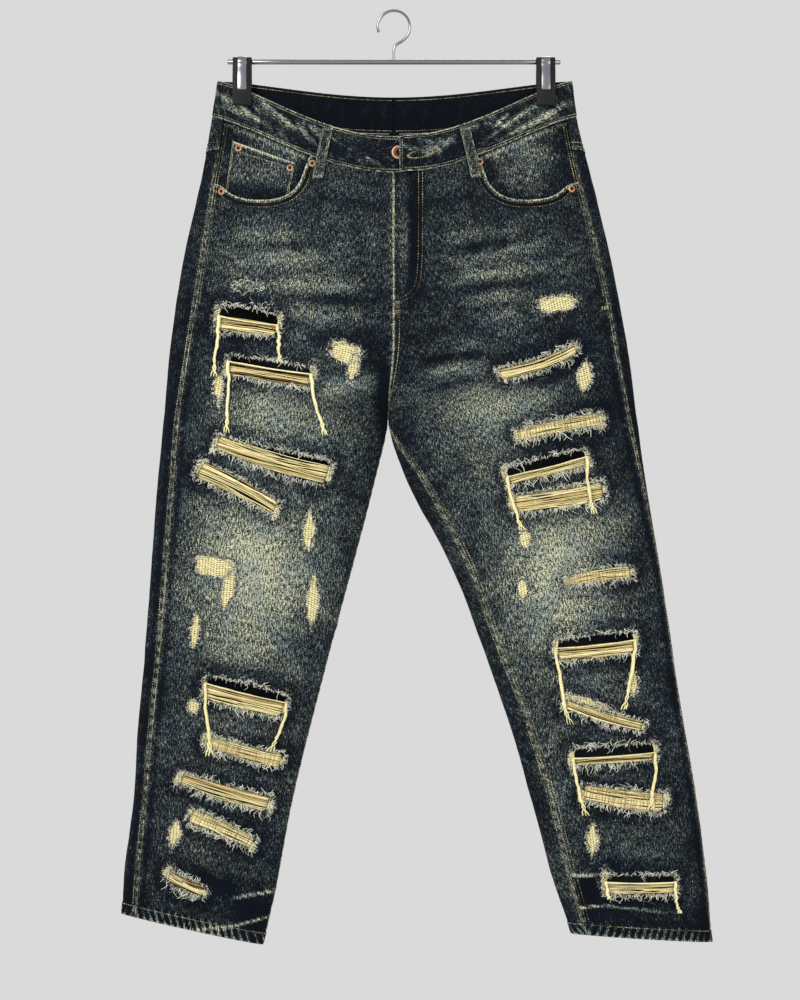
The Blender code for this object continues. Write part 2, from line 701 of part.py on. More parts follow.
def rip_outline(row):
    """A long rounded hole whose edge wanders a little, as (x, z) points."""
    turn = np.linspace(0, 2 * math.pi, RIP_CORNERS, endpoint=False) + 0.2
    wander = 1 + RIP_WANDER * np.sin(3 * turn + row["x"]) + RIP_WANDER * np.cos(5 * turn + row["drop"])
    along = 0.5 * row["length"] * np.sign(np.cos(turn)) * np.abs(np.cos(turn)) ** 0.6
    across = 0.5 * row["height"] * np.sign(np.sin(turn)) * np.abs(np.sin(turn)) ** 0.5 * wander
    x, drop = rip_point(row, along, across)
    return list(zip(x.tolist(), (-WAIST_BELOW_HOOK - drop).tolist()))


def ladder(row):
    """The cross yarns that are left in a rip, joined by a strip at each end."""
    filled = row["filled"] * row["height"]
    gaps = row["yarns"] - 1
    thick = (filled - gaps * YARN_GAP) / row["yarns"]
    lines = [0.5 * row["height"] - filled]
    for _ in range(row["yarns"]):
        lines.append(lines[-1] + thick)
        lines.append(lines[-1] + YARN_GAP)
    lines = np.array(lines[:-1])[:, None]
    end = 0.5 * row["length"] + LADDER_END
    near = end - LADDER_END
    along = np.array([[-end, -near, -near / 2, 0.0, near / 2, near, end]])
    keep = np.ones((len(lines) - 1, 6), bool)
    keep[1::2, 1:5] = False
    x, drop = rip_point(row, along, lines)
    deep = CLOTH + LADDER_GAP
    outside = on_cloth(row["leg"], "front", x, drop, -deep)
    inside = on_cloth(row["leg"], "front", x, drop, -deep - LADDER_THICK)
    return wall(row["name"] + "_yarns", YARN, outside, inside, keep)


def tube_on_cloth(name, slot, side, x, drop, out, size):
    """A four-sided yarn along a path of (x, drop) that lies on the front."""
    middle = on_cloth(side, "front", x, drop, out)
    run = np.gradient(middle, axis=0)
    run /= np.linalg.norm(run, axis=1, keepdims=True)
    facing = on_cloth(side, "front", x, drop, out + 1.0) - middle
    facing -= run * np.sum(facing * run, axis=1, keepdims=True)
    facing /= np.linalg.norm(facing, axis=1, keepdims=True)
    beside = np.cross(run, facing)
    half = 0.5 * size
    corners = [
        middle + half * (beside * a + facing * b) for a, b in ((-1, 1), (1, 1), (1, -1), (-1, -1))
    ]
    count = len(middle)
    points = np.concatenate(corners)
    faces = [(0, count, 2 * count, 3 * count)]
    faces.append((4 * count - 1, 3 * count - 1, 2 * count - 1, count - 1))
    for ring in range(4):
        following = (ring + 1) % 4
        for i in range(count - 1):
            a, b = ring * count + i, following * count + i
            faces.append((a, a + 1, b + 1, b))
    mesh = bpy.data.meshes.new(name)
    mesh.from_pydata((points * MM).tolist(), [], faces)
    shape = bmesh.new()
    shape.from_mesh(mesh)
    bmesh.ops.recalc_face_normals(shape, faces=shape.faces)
    shape.to_mesh(mesh)
    shape.free()
    return linked(bpy.data.objects.new(name, mesh), slot)


def hanging_yarn(row):
    """One pulled yarn: it hangs, crosses the top of its rip and hangs again."""
    name, rip_name, hang_a, hang_b, drift_a, drift_b = row
    rip = rip_frame(next(item for item in RIPS if item[0] == rip_name))
    end = 0.5 * rip["length"] + 1.0
    level = (0.5 - rip["filled"]) * rip["height"] - 1.5
    ax, ad = rip_point(rip, -end, level)
    bx, bd = rip_point(rip, end, level)
    down = np.linspace(1, 0, 6)
    up = down[::-1]
    across = np.linspace(0, 1, 8)[1:-1]
    x = np.concatenate([ax + drift_a * down**1.5, ax + (bx - ax) * across, bx + drift_b * up**1.5])
    drop = np.concatenate([ad + hang_a * down, ad + (bd - ad) * across, bd + hang_b * up])
    out = YARN_LIES + 0.5 * YARN_THICK
    return tube_on_cloth(name, YARN, rip["leg"], x, drop, out, YARN_THICK)


def disc_on(name, slot, centre, normal, radius, thick, dome):
    """A turned button or rivet: a disc with a bevelled edge, its back at centre."""
    bpy.ops.mesh.primitive_cone_add(
        vertices=16, radius1=radius * MM, radius2=(radius - dome) * MM, depth=thick * MM,
    )
    obj = bpy.context.object
    obj.name = name
    obj.data.name = name
    axis = np.array(normal, float)
    axis /= np.linalg.norm(axis)
    place = (np.array(centre) + axis * 0.5 * thick) * MM
    turn = Vector(axis).to_track_quat("Z", "Y").to_matrix().to_4x4()
    obj.matrix_world = Matrix.Translation(Vector(place)) @ turn
    obj.data.shade_smooth()
    obj.data.set_sharp_from_angle(angle=math.radians(30))
    return linked(obj, slot)


def fastenings():
    side = "right"
    base = on_cloth(side, "front", BUTTON_AT[0], BUTTON_AT[1], BAND_PROUD + BUTTON_STAND)
    ahead = on_cloth(side, "front", BUTTON_AT[0], BUTTON_AT[1], BAND_PROUD + 2.0)
    disc_on("button", COPPER, base, ahead - base, BUTTON_RADIUS, BUTTON_THICK, BUTTON_BEVEL)
    for name, (place, x, drop) in RIVETS.items():
        side = "right" if x < 0 else "left"
        level = SEAM_GAP if place == "front" else SEAM_GAP + COIN_PROUD
        base = on_cloth(side, "front", x, drop, level + RIVET_STAND)
        ahead = on_cloth(side, "front", x, drop, level + 2.0)
        disc_on(name, COPPER, base, ahead - base, RIVET_RADIUS, RIVET_THICK, RIVET_BEVEL)


def wire(name, slot, points, radius):
    """A bent wire: a curve with a round bevel and filled caps, made a mesh."""
    data = bpy.data.curves.new(name, "CURVE")
    data.dimensions = "3D"
    data.bevel_depth = radius * MM
    data.bevel_resolution = 1
    data.use_fill_caps = True
    spline = data.splines.new("POLY")
    spline.points.add(len(points) - 1)
    for point, place in zip(spline.points, points):
        point.co = (place[0] * MM, place[1] * MM, place[2] * MM, 1.0)
    curve = bpy.data.objects.new(name + "_path", data)
    bpy.context.scene.collection.objects.link(curve)
    bpy.context.view_layer.update()
    evaluated = curve.evaluated_get(bpy.context.evaluated_depsgraph_get())
    mesh = bpy.data.meshes.new_from_object(evaluated)
    bpy.data.objects.remove(curve, do_unlink=True)
    shape = bmesh.new()
    shape.from_mesh(mesh)
    bmesh.ops.remove_doubles(shape, verts=shape.verts, dist=1e-6)
    bmesh.ops.recalc_face_normals(shape, faces=shape.faces)
    shape.to_mesh(mesh)
    shape.free()
    mesh.shade_smooth()
    mesh.set_sharp_from_angle(angle=math.radians(40))
    return linked(bpy.data.objects.new(name, mesh), slot)


def box_piece(name, slot, low, high, bevel):
    """A box between two corners in millimetres with bevelled edges."""
    size = [(b - a) * MM for a, b in zip(low, high)]
    bpy.ops.mesh.primitive_cube_add(size=1.0)
    obj = bpy.context.object
    obj.name = name
    obj.data.name = name
    obj.data.transform(Matrix.Diagonal((*size, 1.0)))
    obj.location = [0.5 * (a + b) * MM for a, b in zip(low, high)]
    if bevel:
        modifier = obj.modifiers.new("edges", "BEVEL")
        modifier.width = bevel * MM
        modifier.segments = 1
    return linked(obj, slot)


def hanger():
    """A steel hook and bar in one wire, with a clip near each end of the bar."""
    centre = -HOOK_RADIUS
    top = HOOK_RADIUS + HOOK_WIRE
    turns = np.radians(np.linspace(HOOK_FROM, HOOK_TO, 15))
    bend = [(top * math.cos(t), 0.0, centre + top * math.sin(t)) for t in turns]
    stem = [*HOOK_NECK, (0.0, 0.0, -BAR_DROP)]
    hook = wire("hanger", STEEL, bend + stem, HOOK_WIRE)
    end = CLIP_X + 0.5 * CLIP_WIDTH + BAR_PAST_CLIP
    bar = wire("hanger_bar", STEEL, [(-end, 0, -BAR_DROP), (end, 0, -BAR_DROP)], BAR_RADIUS)
    joined = hook.modifiers.new("bar", "BOOLEAN")
    joined.operation = "UNION"
    joined.object = bar
    bpy.data.collections[COLLECTION].objects.unlink(bar)
    bpy.data.collections["cutters"].objects.link(bar)
    bar.hide_render = True
    bar.display_type = "WIRE"


def start_scene():
    for obj in list(bpy.data.objects):
        bpy.data.objects.remove(obj, do_unlink=True)
    for name in (COLLECTION, "cutters"):
        if name not in bpy.data.collections:
            bpy.context.scene.collection.children.link(bpy.data.collections.new(name))


def clip(side):
    """A clip that hangs on the bar and grips the waistband's corner front and back."""
    sign = -1 if side == "right" else 1
    x0, x1 = sorted((sign * (CLIP_X - 0.5 * CLIP_WIDTH), sign * (CLIP_X + 0.5 * CLIP_WIDTH)))
    x = np.linspace(x0, x1, 5)[None, :]
    drop = np.linspace(0, CLIP_REACH, 5)[:, None]
    front_skin = on_pattern(side, "front", x, drop, BAND_PROUD)[..., 1]
    back_skin = on_pattern(side, "back", x, drop, BAND_PROUD)[..., 1]
    y0 = float(front_skin.min()) - SEAM_GAP
    y1 = float(back_skin.max()) + SEAM_GAP
    low = -WAIST_BELOW_HOOK - CLIP_REACH
    high = -BAR_DROP + BAR_RADIUS + CLIP_WALL
    obj = box_piece(
        f"clip_{side}", CLIP_PLASTIC, (x0, y0 - CLIP_WALL, low), (x1, y1 + CLIP_WALL, high), CLIP_BEVEL,
    )
    throat = box_piece(
        f"clip_{side}_throat", CLIP_PLASTIC, (x0 - CUTTER_SPARE, y0, low - CUTTER_SPARE),
        (x1 + CUTTER_SPARE, y1, -WAIST_BELOW_HOOK + CLIP_THROAT), 0,
    )
    bpy.ops.mesh.primitive_cylinder_add(
        vertices=12, radius=(BAR_RADIUS + SEAM_GAP) * MM, depth=(CLIP_WIDTH + 2 * CUTTER_SPARE) * MM,
    )
    bore = bpy.context.object
    bore.name = f"clip_{side}_bore"
    bore.rotation_euler = (0, 0.5 * math.pi, 0)
    bore.location = (sign * CLIP_X * MM, 0, -BAR_DROP * MM)
    for cutter in (throat, bore):
        for owner in list(cutter.users_collection):
            owner.objects.unlink(cutter)
        bpy.data.collections["cutters"].objects.link(cutter)
        cutter.hide_render = True
        cutter.display_type = "WIRE"
        cut(obj, cutter)


start_scene()
for leg_side in LEGS:
    front = leg_panel(leg_side, "front")
    cut(front, cutter_object(f"pocket_mouth_{leg_side}", pocket_outline(leg_side), CUT_FROM, CUT_TO))
    for rip_row in RIPS:
        if rip_row[1] == leg_side:
            frame = rip_frame(rip_row)
            cut(front, cutter_object(frame["name"] + "_hole", rip_outline(frame), CUT_FROM, CUT_TO))
            ladder(frame)
    leg_panel(leg_side, "back")
    yoke(leg_side)
    waistband(leg_side)
    pocket_facing(leg_side)
    back_pocket(leg_side)
    clip(leg_side)
sheet_on(
    "coin_pocket", DENIM, "right", "front", COIN_POCKET, (3, 4), COIN_BACK, COIN_PROUD,
)
belt_loops()
zip_strip()
fastenings()
for yarn_row in HANGING:
    hanging_yarn(yarn_row)
hanger()
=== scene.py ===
# %% [markdown]
# # Ripped jeans on a clip hanger
#
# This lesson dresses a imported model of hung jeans. The solids already have the
# true cut and size, so everything here is made on the same surface and only
# adds what cloth, yarn and metal look like from a step away: grain, wash,
# frayed rips, loose yarns, stitching and small wrinkles. The front faces -Y,
# and "right" and "left" are the wearer's sides.

# %% Load the frame
import math
from collections import namedtuple

import bmesh
import bpy
import numpy as np
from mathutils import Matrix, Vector


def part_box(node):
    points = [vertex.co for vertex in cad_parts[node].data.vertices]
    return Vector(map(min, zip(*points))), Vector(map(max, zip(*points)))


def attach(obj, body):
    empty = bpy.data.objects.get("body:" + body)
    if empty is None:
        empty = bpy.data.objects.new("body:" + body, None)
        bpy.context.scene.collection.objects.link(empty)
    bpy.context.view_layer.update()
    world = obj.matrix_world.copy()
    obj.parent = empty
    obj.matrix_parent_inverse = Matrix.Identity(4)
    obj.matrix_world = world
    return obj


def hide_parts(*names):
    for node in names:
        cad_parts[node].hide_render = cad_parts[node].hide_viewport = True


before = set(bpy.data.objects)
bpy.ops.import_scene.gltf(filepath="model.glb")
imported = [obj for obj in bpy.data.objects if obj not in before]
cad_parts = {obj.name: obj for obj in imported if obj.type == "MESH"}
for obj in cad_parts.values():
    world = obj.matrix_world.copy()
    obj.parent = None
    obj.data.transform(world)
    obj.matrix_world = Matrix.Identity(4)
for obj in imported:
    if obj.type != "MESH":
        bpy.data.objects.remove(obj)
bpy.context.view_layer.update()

MM = 0.001
TURN = 2 * math.pi

# %% [markdown]
# ## Camera and light
#
# The photograph looks square at the front from far off, so a long lens keeps
# the legs parallel. Soft area lights from the upper left and a pale world give
# a studio look.

# %% Studio
PIXEL = 1.16
MIDDLE_PX = 394
TOP_PX = 81
IMAGE_PX = (800, 1000)
CAMERA_AWAY = 4.2
SENSOR = 36.0
WAIST_BELOW_HOOK = 80.0


def studio():
    """Camera at the photo's angle, three soft lights and a pale world."""
    middle_x = (IMAGE_PX[0] / 2 - MIDDLE_PX) * PIXEL * MM
    middle_z = -(WAIST_BELOW_HOOK + (IMAGE_PX[1] / 2 - TOP_PX) * PIXEL) * MM
    data = bpy.data.cameras.new("camera")
    data.sensor_width = SENSOR
    data.lens = SENSOR * CAMERA_AWAY / (IMAGE_PX[1] * PIXEL * MM)
    camera = bpy.data.objects.new("camera", data)
    camera.location = (middle_x, -CAMERA_AWAY, middle_z)
    camera.rotation_euler = (math.radians(90), 0, 0)
    bpy.context.collection.objects.link(camera)
    bpy.context.scene.camera = camera
    lights = (
        ("key", (-1.5, -2.2, 0.9), 1.5, 62.0),
        ("fill", (1.9, -2.4, -0.1), 1.8, 26.0),
        ("back", (0.6, 2.4, 0.9), 1.8, 40.0),
    )
    for name, place, size, power in lights:
        light = bpy.data.lights.new(name, "AREA")
        light.shape = "DISK"
        light.size = size
        light.energy = power
        lamp = bpy.data.objects.new(name, light)
        lamp.location = place
        aim = Vector((0, 0, middle_z)) - Vector(place)
        lamp.rotation_euler = aim.to_track_quat("-Z", "Y").to_euler()
        bpy.context.collection.objects.link(lamp)
    world = bpy.data.worlds.new("studio")
    world.use_nodes = True
    world.node_tree.nodes["Background"].inputs["Color"].default_value = (0.70, 0.70, 0.70, 1.0)
    world.node_tree.nodes["Background"].inputs["Strength"].default_value = 1.0
    bpy.context.scene.world = world
    bpy.context.scene.view_settings.view_transform = "Standard"


studio()
print("camera lens", round(bpy.context.scene.camera.data.lens, 1), "mm")

# %% [markdown]
# ## Shader maths as plain expressions
#
# Finishes are sums and products of noise, distances and colours. A small class
# wraps a socket so that such maths reads like maths, and one method adds any
# other node with its settings and its inputs.


# %% Socket wrapper
def maths(operation, swapped=False):
    """A method that makes one Math node from a socket and another value."""

    def method(self, other=0.0):
        first, second = (other, self) if swapped else (self, other)
        node = self.paint.add("ShaderNodeMath", {"operation": operation}, {0: first, 1: second})
        return Value(self.paint, node.outputs[0])

    return method


class Value:
    """A shader socket that makes Math nodes when it is used in an expression."""

    def __init__(self, paint, socket):
        self.paint = paint
        self.socket = socket

    __add__, __radd__ = maths("ADD"), maths("ADD", True)
    __sub__, __rsub__ = maths("SUBTRACT"), maths("SUBTRACT", True)
    __mul__, __rmul__ = maths("MULTIPLY"), maths("MULTIPLY", True)
    most, sine = maths("MAXIMUM"), maths("SINE")

    def step(self, low, high):
        """0 below low, 1 above high, and a smooth ramp between."""
        node = self.paint.add(
            "ShaderNodeMapRange", {"interpolation_type": "SMOOTHSTEP", "clamp": True},
            {"Value": self, "From Min": low, "From Max": high},
        )
        return Value(self.paint, node.outputs["Result"])


class Paint:
    """A new material with its Principled shader and helpers that add nodes."""

    def __init__(self, name):
        self.material = bpy.data.materials.new(name)
        self.material.use_nodes = True
        self.tree = self.material.node_tree
        self.shader = self.tree.nodes["Principled BSDF"]

    def put(self, node, key, value):
        target = node.inputs[key]
        if isinstance(value, Value):
            self.tree.links.new(value.socket, target)
        elif isinstance(value, (tuple, list)) and len(value) == 3 and target.type == "RGBA":
            target.default_value = (*value, 1.0)
        else:
            target.default_value = value

    def add(self, kind, settings=None, inputs=None):
        """Add any node: its settings first, then values or links of its sockets."""
        node = self.tree.nodes.new(kind)
        for key, value in (settings or {}).items():
            setattr(node, key, value)
        for key, value in (inputs or {}).items():
            self.put(node, key, value)
        return node

    def scaled(self, socket, scale):
        """Coordinates of a socket, scaled to each axis."""
        node = self.add("ShaderNodeMapping", {}, {"Vector": Value(self, socket), "Scale": scale})
        return Value(self, node.outputs[0])

    def place(self, scale=(1.0, 1.0, 1.0)):
        """Object coordinates, scaled to each axis."""
        source = self.add("ShaderNodeTexCoord")
        return self.scaled(source.outputs["Object"], scale)

    def cloth(self, scale=(1.0, 1.0, 1.0)):
        """The piece's own UV map, in metres along the cloth."""
        source = self.add("ShaderNodeUVMap")
        return self.scaled(source.outputs[0], scale)

    def noise(self, where, scale, detail=2.0, rough=0.5):
        inputs = {"Vector": where, "Scale": scale, "Detail": detail, "Roughness": rough}
        node = self.add("ShaderNodeTexNoise", {}, inputs)
        return Value(self, node.outputs["Fac"])

    def grain(self, across, along, detail, rough):
        """Noise with so many lumps a metre across and along the cloth."""
        return self.noise(self.cloth((across, along, 1.0)), 1.0, detail, rough)

    def wave(self, where, direction):
        """Soft bands square to one axis of the cloth."""
        node = self.add(
            "ShaderNodeTexWave", {"wave_type": "BANDS", "bands_direction": direction},
            {"Vector": where, "Scale": 1.0, "Distortion": 0.5, "Detail": 0.0},
        )
        return Value(self, node.outputs["Fac"])

    def given(self, name):
        """A number stored on the piece's points."""
        node = self.add("ShaderNodeAttribute", {"attribute_name": name})
        return Value(self, node.outputs["Fac"])

    def mix(self, factor, first, second):
        node = self.add("ShaderNodeMix", {"data_type": "RGBA"}, {0: factor, 6: first, 7: second})
        return Value(self, node.outputs[2])

    def ramp(self, factor, stops):
        """Colours along a factor, as (position, colour) stops."""
        node = self.add("ShaderNodeValToRGB", {}, {0: factor})
        ramp = node.color_ramp
        while len(ramp.elements) < len(stops):
            ramp.elements.new(0.5)
        for element, (at, colour) in zip(ramp.elements, stops):
            element.position = at
            element.color = (*colour, 1.0)
        return Value(self, node.outputs[0])

    def bump(self, height, strength, distance):
        inputs = {"Height": height, "Strength": strength, "Distance": distance}
        node = self.add("ShaderNodeBump", {}, inputs)
        self.tree.links.new(node.outputs[0], self.shader.inputs["Normal"])

    def finish(self, **sockets):
        for key, value in sockets.items():
            self.put(self.shader, key.replace("_", " "), value)
        return self.material


print("shader helpers ready")

# %% [markdown]
# ## The cut of the cloth
#
# Each leg is a tube whose section is a flattened round: across it, x follows
# one minus the cosine of a turn and the depth follows its sine. The silhouette,
# seams and depth are short tables against the drop below the waist corners.
# The same few formulas made the solids, so whatever is made here fits them.

# %% Tables of the cut, in millimetres
LEG_COLUMNS = ("drop", "outer", "inner", "outseam", "inseam", "front", "back")
LEGS = {
    "right": (
        (0, -204, 0, -193, 0, 30, 28),
        (44, -211, 0, -197, 0, 34, 33),
        (115, -224, 0, -208, 0, 39, 40),
        (184, -239, 0, -218, 0, 41, 46),
        (254, -252, 0, -229, 0, 41, 49),
        (324, -261, -1, -240, -1, 39, 46),
        (398, -268, -7, -251, -7, 35, 39),
        (463, -274, -22, -256, -22, 33, 34),
        (556, -281, -46, -264, -46, 30, 31),
        (648, -288, -71, -271, -71, 28, 29),
        (741, -296, -95, -280, -95, 26, 27),
        (834, -302, -118, -288, -118, 24, 25),
        (927, -312, -138, -296, -138, 22, 23),
        (983, -316, -152, -300, -152, 21, 22),
    ),
    "left": (
        (0, 206, 0, 195, 0, 30, 28),
        (44, 212, 0, 200, 0, 34, 33),
        (115, 230, 0, 214, 0, 39, 40),
        (184, 246, 0, 231, 0, 41, 46),
        (254, 261, 0, 247, 0, 41, 49),
        (324, 273, -1, 259, -1, 39, 46),
        (398, 283, -7, 273, -7, 35, 39),
        (463, 292, 14, 287, 34, 33, 34),
        (556, 307, 63, 306, 84, 30, 31),
        (648, 321, 100, 320, 118, 28, 29),
        (741, 335, 132, 334, 154, 26, 27),
        (834, 351, 159, 350, 182, 24, 25),
        (927, 363, 184, 362, 206, 22, 23),
        (993, 369, 206, 368, 224, 21, 22),
    ),
}
SEAM_GAP = 0.3
PANEL_GAP = 0.5
EDGE_RADIUS = 3.4
BAND_PROUD = 0.6
BAND_HEIGHT = 42.0
HEM_HEIGHT = 15.0
HEM_PROUD = 0.7
DIP = {"front": 67.0, "back": 16.0}
DIP_POWER = 1.3
DIP_TOP = 44.0
DIP_END = 290.0
HEM_TILT = {"right": 18.0, "left": 5.0}
HEM_TILT_START = 800.0
CROTCH_START = 290.0
CROTCH = 398.0
MIDDLE_GAP = 0.2
MIDDLE_AT_CROTCH = -7.0
PINCH_TOP = 4.5
PINCH_END = 130.0
YOKE_SIDE = 34.0
YOKE_MIDDLE = 70.0
FLY_END = 258.0
FLY_LAP = 2.0
FLY_RAISE = 2.2

# Soft folds of each face: x0, drop0, x1, drop1, half width, height
FOLDS = {
    "front": (
        (26, 140, 24, 250, 15, -3.5), (42, 150, 40, 260, 16, 2.5), (-20, 400, -75, 520, 20, 4.0),
        (30, 385, 120, 360, 22, 3.0), (-30, 385, -105, 360, 30, 2.5), (60, 470, 120, 620, 26, 3.0),
        (-170, 560, -120, 700, 30, 3.0), (210, 560, 250, 720, 30, 3.0),
        (-210, 955, -150, 940, 16, -3.5), (190, 930, 300, 935, 16, -3.0),
    ),
    "back": (
        (25, 330, 150, 380, 24, 4.0), (-30, 335, -150, 375, 24, 4.0),
        (-240, 600, -120, 590, 22, -4.0), (-250, 660, -130, 675, 20, -3.5),
        (130, 610, 260, 585, 22, -4.0), (150, 680, 270, 665, 20, -3.5),
        (-270, 930, -180, 945, 18, -3.0), (220, 945, 320, 925, 18, -3.0),
    ),
}


# %% The surface of the jeans
def smooth(value, low, high):
    """A smooth step from 0 at low to 1 at high."""
    part = np.clip((np.asarray(value, float) - low) / (high - low), 0.0, 1.0)
    return part * part * (3.0 - 2.0 * part)


def bell(distance, width, power=2):
    """A bell: e to the power of minus (distance over width) squared, or to another power."""
    return np.exp(-((distance / width) ** power))


def decay(distance, reach):
    """A fading tail: e to the power of minus distance over reach."""
    return np.exp(-distance / reach)


def unit(vectors):
    """The same directions with a length of one."""
    return vectors / np.maximum(np.linalg.norm(vectors, axis=-1, keepdims=True), 1e-9)


def same_shape(*values):
    """Arrays of numbers spread to one common shape."""
    return np.broadcast_arrays(*(np.asarray(value, float) for value in values))


def cubic(values, slopes, at, part, span=1.0):
    """A cubic curve after each knot, which keeps the values and slopes of its ends."""
    rest = 1 - part
    start = (1 + 2 * part) * rest**2 * values[at] + part * rest**2 * span * slopes[at]
    return start + part**2 * (3 - 2 * part) * values[at + 1] - part**2 * rest * span * slopes[at + 1]


def leg_value(side, name, drop):
    """A column of a leg's table at any drop: a cubic curve through its rows."""
    rows = LEGS[side]
    knots = np.array([row[0] for row in rows], float)
    values = np.array([row[LEG_COLUMNS.index(name)] for row in rows], float)
    slopes = np.gradient(values, knots)
    drop = np.asarray(drop, float)
    held = np.clip(drop, knots[0], knots[-1])
    at = np.clip(np.searchsorted(knots, held, side="right") - 1, 0, len(knots) - 2)
    span = knots[at + 1] - knots[at]
    value = cubic(values, slopes, at, (held - knots[at]) / span, span)
    if name in ("inner", "inseam"):
        value = np.where(drop < CROTCH, MIDDLE_AT_CROTCH * smooth(drop, CROTCH_START, CROTCH), value)
        value = value + (MIDDLE_GAP if side == "left" else -MIDDLE_GAP)
    return value


def leg_width(side, drop):
    return np.abs(leg_value(side, "inner", drop) - leg_value(side, "outer", drop))


def hem_drop(side):
    return float(LEGS[side][-1][0])


def last_angle(drop):
    """The turn at the middle: a quarter over the hips, a half round a leg."""
    return math.pi * (0.5 + 0.5 * smooth(drop, CROTCH_START, CROTCH))


def angle_at(side, drop, x):
    """The turn round the section whose point lies at x."""
    outer = leg_value(side, "outer", drop)
    inner = leg_value(side, "inner", drop)
    cosine = 1.0 - (x - outer) / (inner - outer) * (1.0 - np.cos(last_angle(drop)))
    return np.arccos(np.clip(cosine, -1.0, 1.0))


def along_line(x, y, x0, y0, x1, y1):
    """Lengths along and across a short line, and the line's own length."""
    run_x, run_y = x1 - x0, y1 - y0
    length = math.hypot(run_x, run_y)
    along = ((x - x0) * run_x + (y - y0) * run_y) / length
    return along, ((x - x0) * run_y - (y - y0) * run_x) / length, length


def between_ends(along, length, past, inside):
    """1 along most of a line, falling softly to 0 past both of its ends."""
    started = smooth(along, -past * length, inside * length)
    return started * (1 - smooth(along, (1 - inside) * length, (1 + past) * length))


def bell_lines(lines, x, y, past, inside):
    """Sum of bells across short lines given as x0, y0, x1, y1, half width, height."""
    total = np.zeros(np.broadcast(x, y).shape)
    for *line, half_width, height in lines:
        along, across, length = along_line(x, y, *line)
        total = total + height * bell(across, half_width) * between_ends(along, length, past, inside)
    return total


def skin(side, face, angle, drop):
    """Outer surface of the cloth at a turn and a drop, in millimetres.

    Across, x follows one minus the cosine of the turn, and the depth follows its
    sine to a power that is high where the clips pinch the waist flat. A small round
    is added at the edges, then the folds, the dip at the middle and the hem's tilt.
    """
    angle, drop = same_shape(angle, drop)
    outer = leg_value(side, "outer", drop)
    inner = leg_value(side, "inner", drop)
    depth = leg_value(side, face, drop)
    share = (1.0 - np.cos(angle)) / (1.0 - np.cos(last_angle(drop)))
    x = outer + (inner - outer) * share
    width = np.abs(inner - outer)
    edge = np.clip(share * width / EDGE_RADIUS, 0.0, 1.0)
    near_inner = np.clip((1.0 - share) * width / EDGE_RADIUS, 0.0, 1.0)
    closed = smooth(drop, CROTCH_START, CROTCH) ** 4
    rounding = np.sqrt(1 - (1 - edge) ** 2)
    rounding = rounding * ((1 - closed) + closed * np.sqrt(1 - (1 - near_inner) ** 2))
    power = PINCH_TOP + (1.0 - PINCH_TOP) * smooth(drop, 0.0, PINCH_END)
    sine = np.clip(np.sin(angle), 0.0, 1.0)
    y = EDGE_RADIUS * rounding + (depth - EDGE_RADIUS) * sine**power
    y = y + bell_lines(FOLDS[face], x, drop, 0.25, 0.3) * sine
    fade = 1.0 - smooth(drop, DIP_TOP, DIP_END)
    inward = np.clip(1 - np.abs(1 - np.abs(x - outer) / np.abs(outer)), 0, 1)
    dipped = DIP[face] * np.sin(0.5 * math.pi * inward) ** DIP_POWER
    hem = smooth(drop, HEM_TILT_START, hem_drop(side)) * HEM_TILT[side] * (2 * share - 1)
    hem = hem if side == "right" else -hem
    z = -WAIST_BELOW_HOOK - drop - dipped * fade - hem
    return np.stack([x, y if face == "back" else -y, z], axis=-1)


def outward(side, face, angle, drop):
    """Unit normals that point out of the garment, from small steps both ways."""
    low = np.maximum(angle - 0.004, 0.001)
    high = np.minimum(angle + 0.004, last_angle(drop) - 0.001 * smooth(drop, CROTCH_START, CROTCH))
    across = skin(side, face, high, drop) - skin(side, face, low, drop)
    down = skin(side, face, angle, drop + 1.0) - skin(side, face, angle, drop - 1.0)
    normal = unit(np.cross(down, across))
    y = -np.sin(angle) if face == "front" else np.sin(angle)
    guess = np.stack([np.cos(angle) * np.sign(leg_value(side, "outer", drop)), y, 0 * angle], axis=-1)
    flip = np.sign(np.sum(normal * guess, axis=-1, keepdims=True))
    return normal * np.where(flip == 0, 1.0, flip)


def moved(side, face, angle, drop, out):
    """The surface moved out by a distance, or in where it is negative."""
    angle, drop, out = same_shape(angle, drop, out)
    return skin(side, face, angle, drop) + outward(side, face, angle, drop) * out[..., None]


def around(side, face, angle, drop, out):
    """The moved surface, where a turn past an edge runs on over the other face."""
    angle, drop, out = same_shape(angle, drop, out)
    other = "back" if face == "front" else "front"
    last = last_angle(drop)
    points = moved(side, face, np.clip(angle, 0, None), drop, out)
    before = moved(side, other, np.clip(-angle, 0, None), drop, out)
    after = moved(side, other, np.clip(2 * last - angle, 0, None), drop, out)
    past = (angle > last) & (drop > CROTCH - 2)
    points = np.where((angle < 0)[..., None], before, points)
    return np.where(past[..., None], after, points)


def nominal_drop(side, face, x, below):
    """The drop along the cloth of a point seen a distance below the corners."""
    drop = np.asarray(below, float).copy()
    for _ in range(25):
        height = -WAIST_BELOW_HOOK - skin(side, face, angle_at(side, drop, x), drop)[..., 2]
        drop = np.clip(drop + 0.6 * (below - height), -2.0, hem_drop(side))
    return drop


def on_cloth(side, face, x, below, out):
    """A point that lies on a panel, from its place seen square from the front."""
    x, below = same_shape(x, below)
    drop = nominal_drop(side, face, x, below)
    return moved(side, face, angle_at(side, drop, x), drop, out)


def on_pattern(side, face, x, drop, out):
    """A point on a panel from its drop along the cloth, the dip left out."""
    x, drop = same_shape(x, drop)
    return moved(side, face, angle_at(side, drop, x), drop, out)


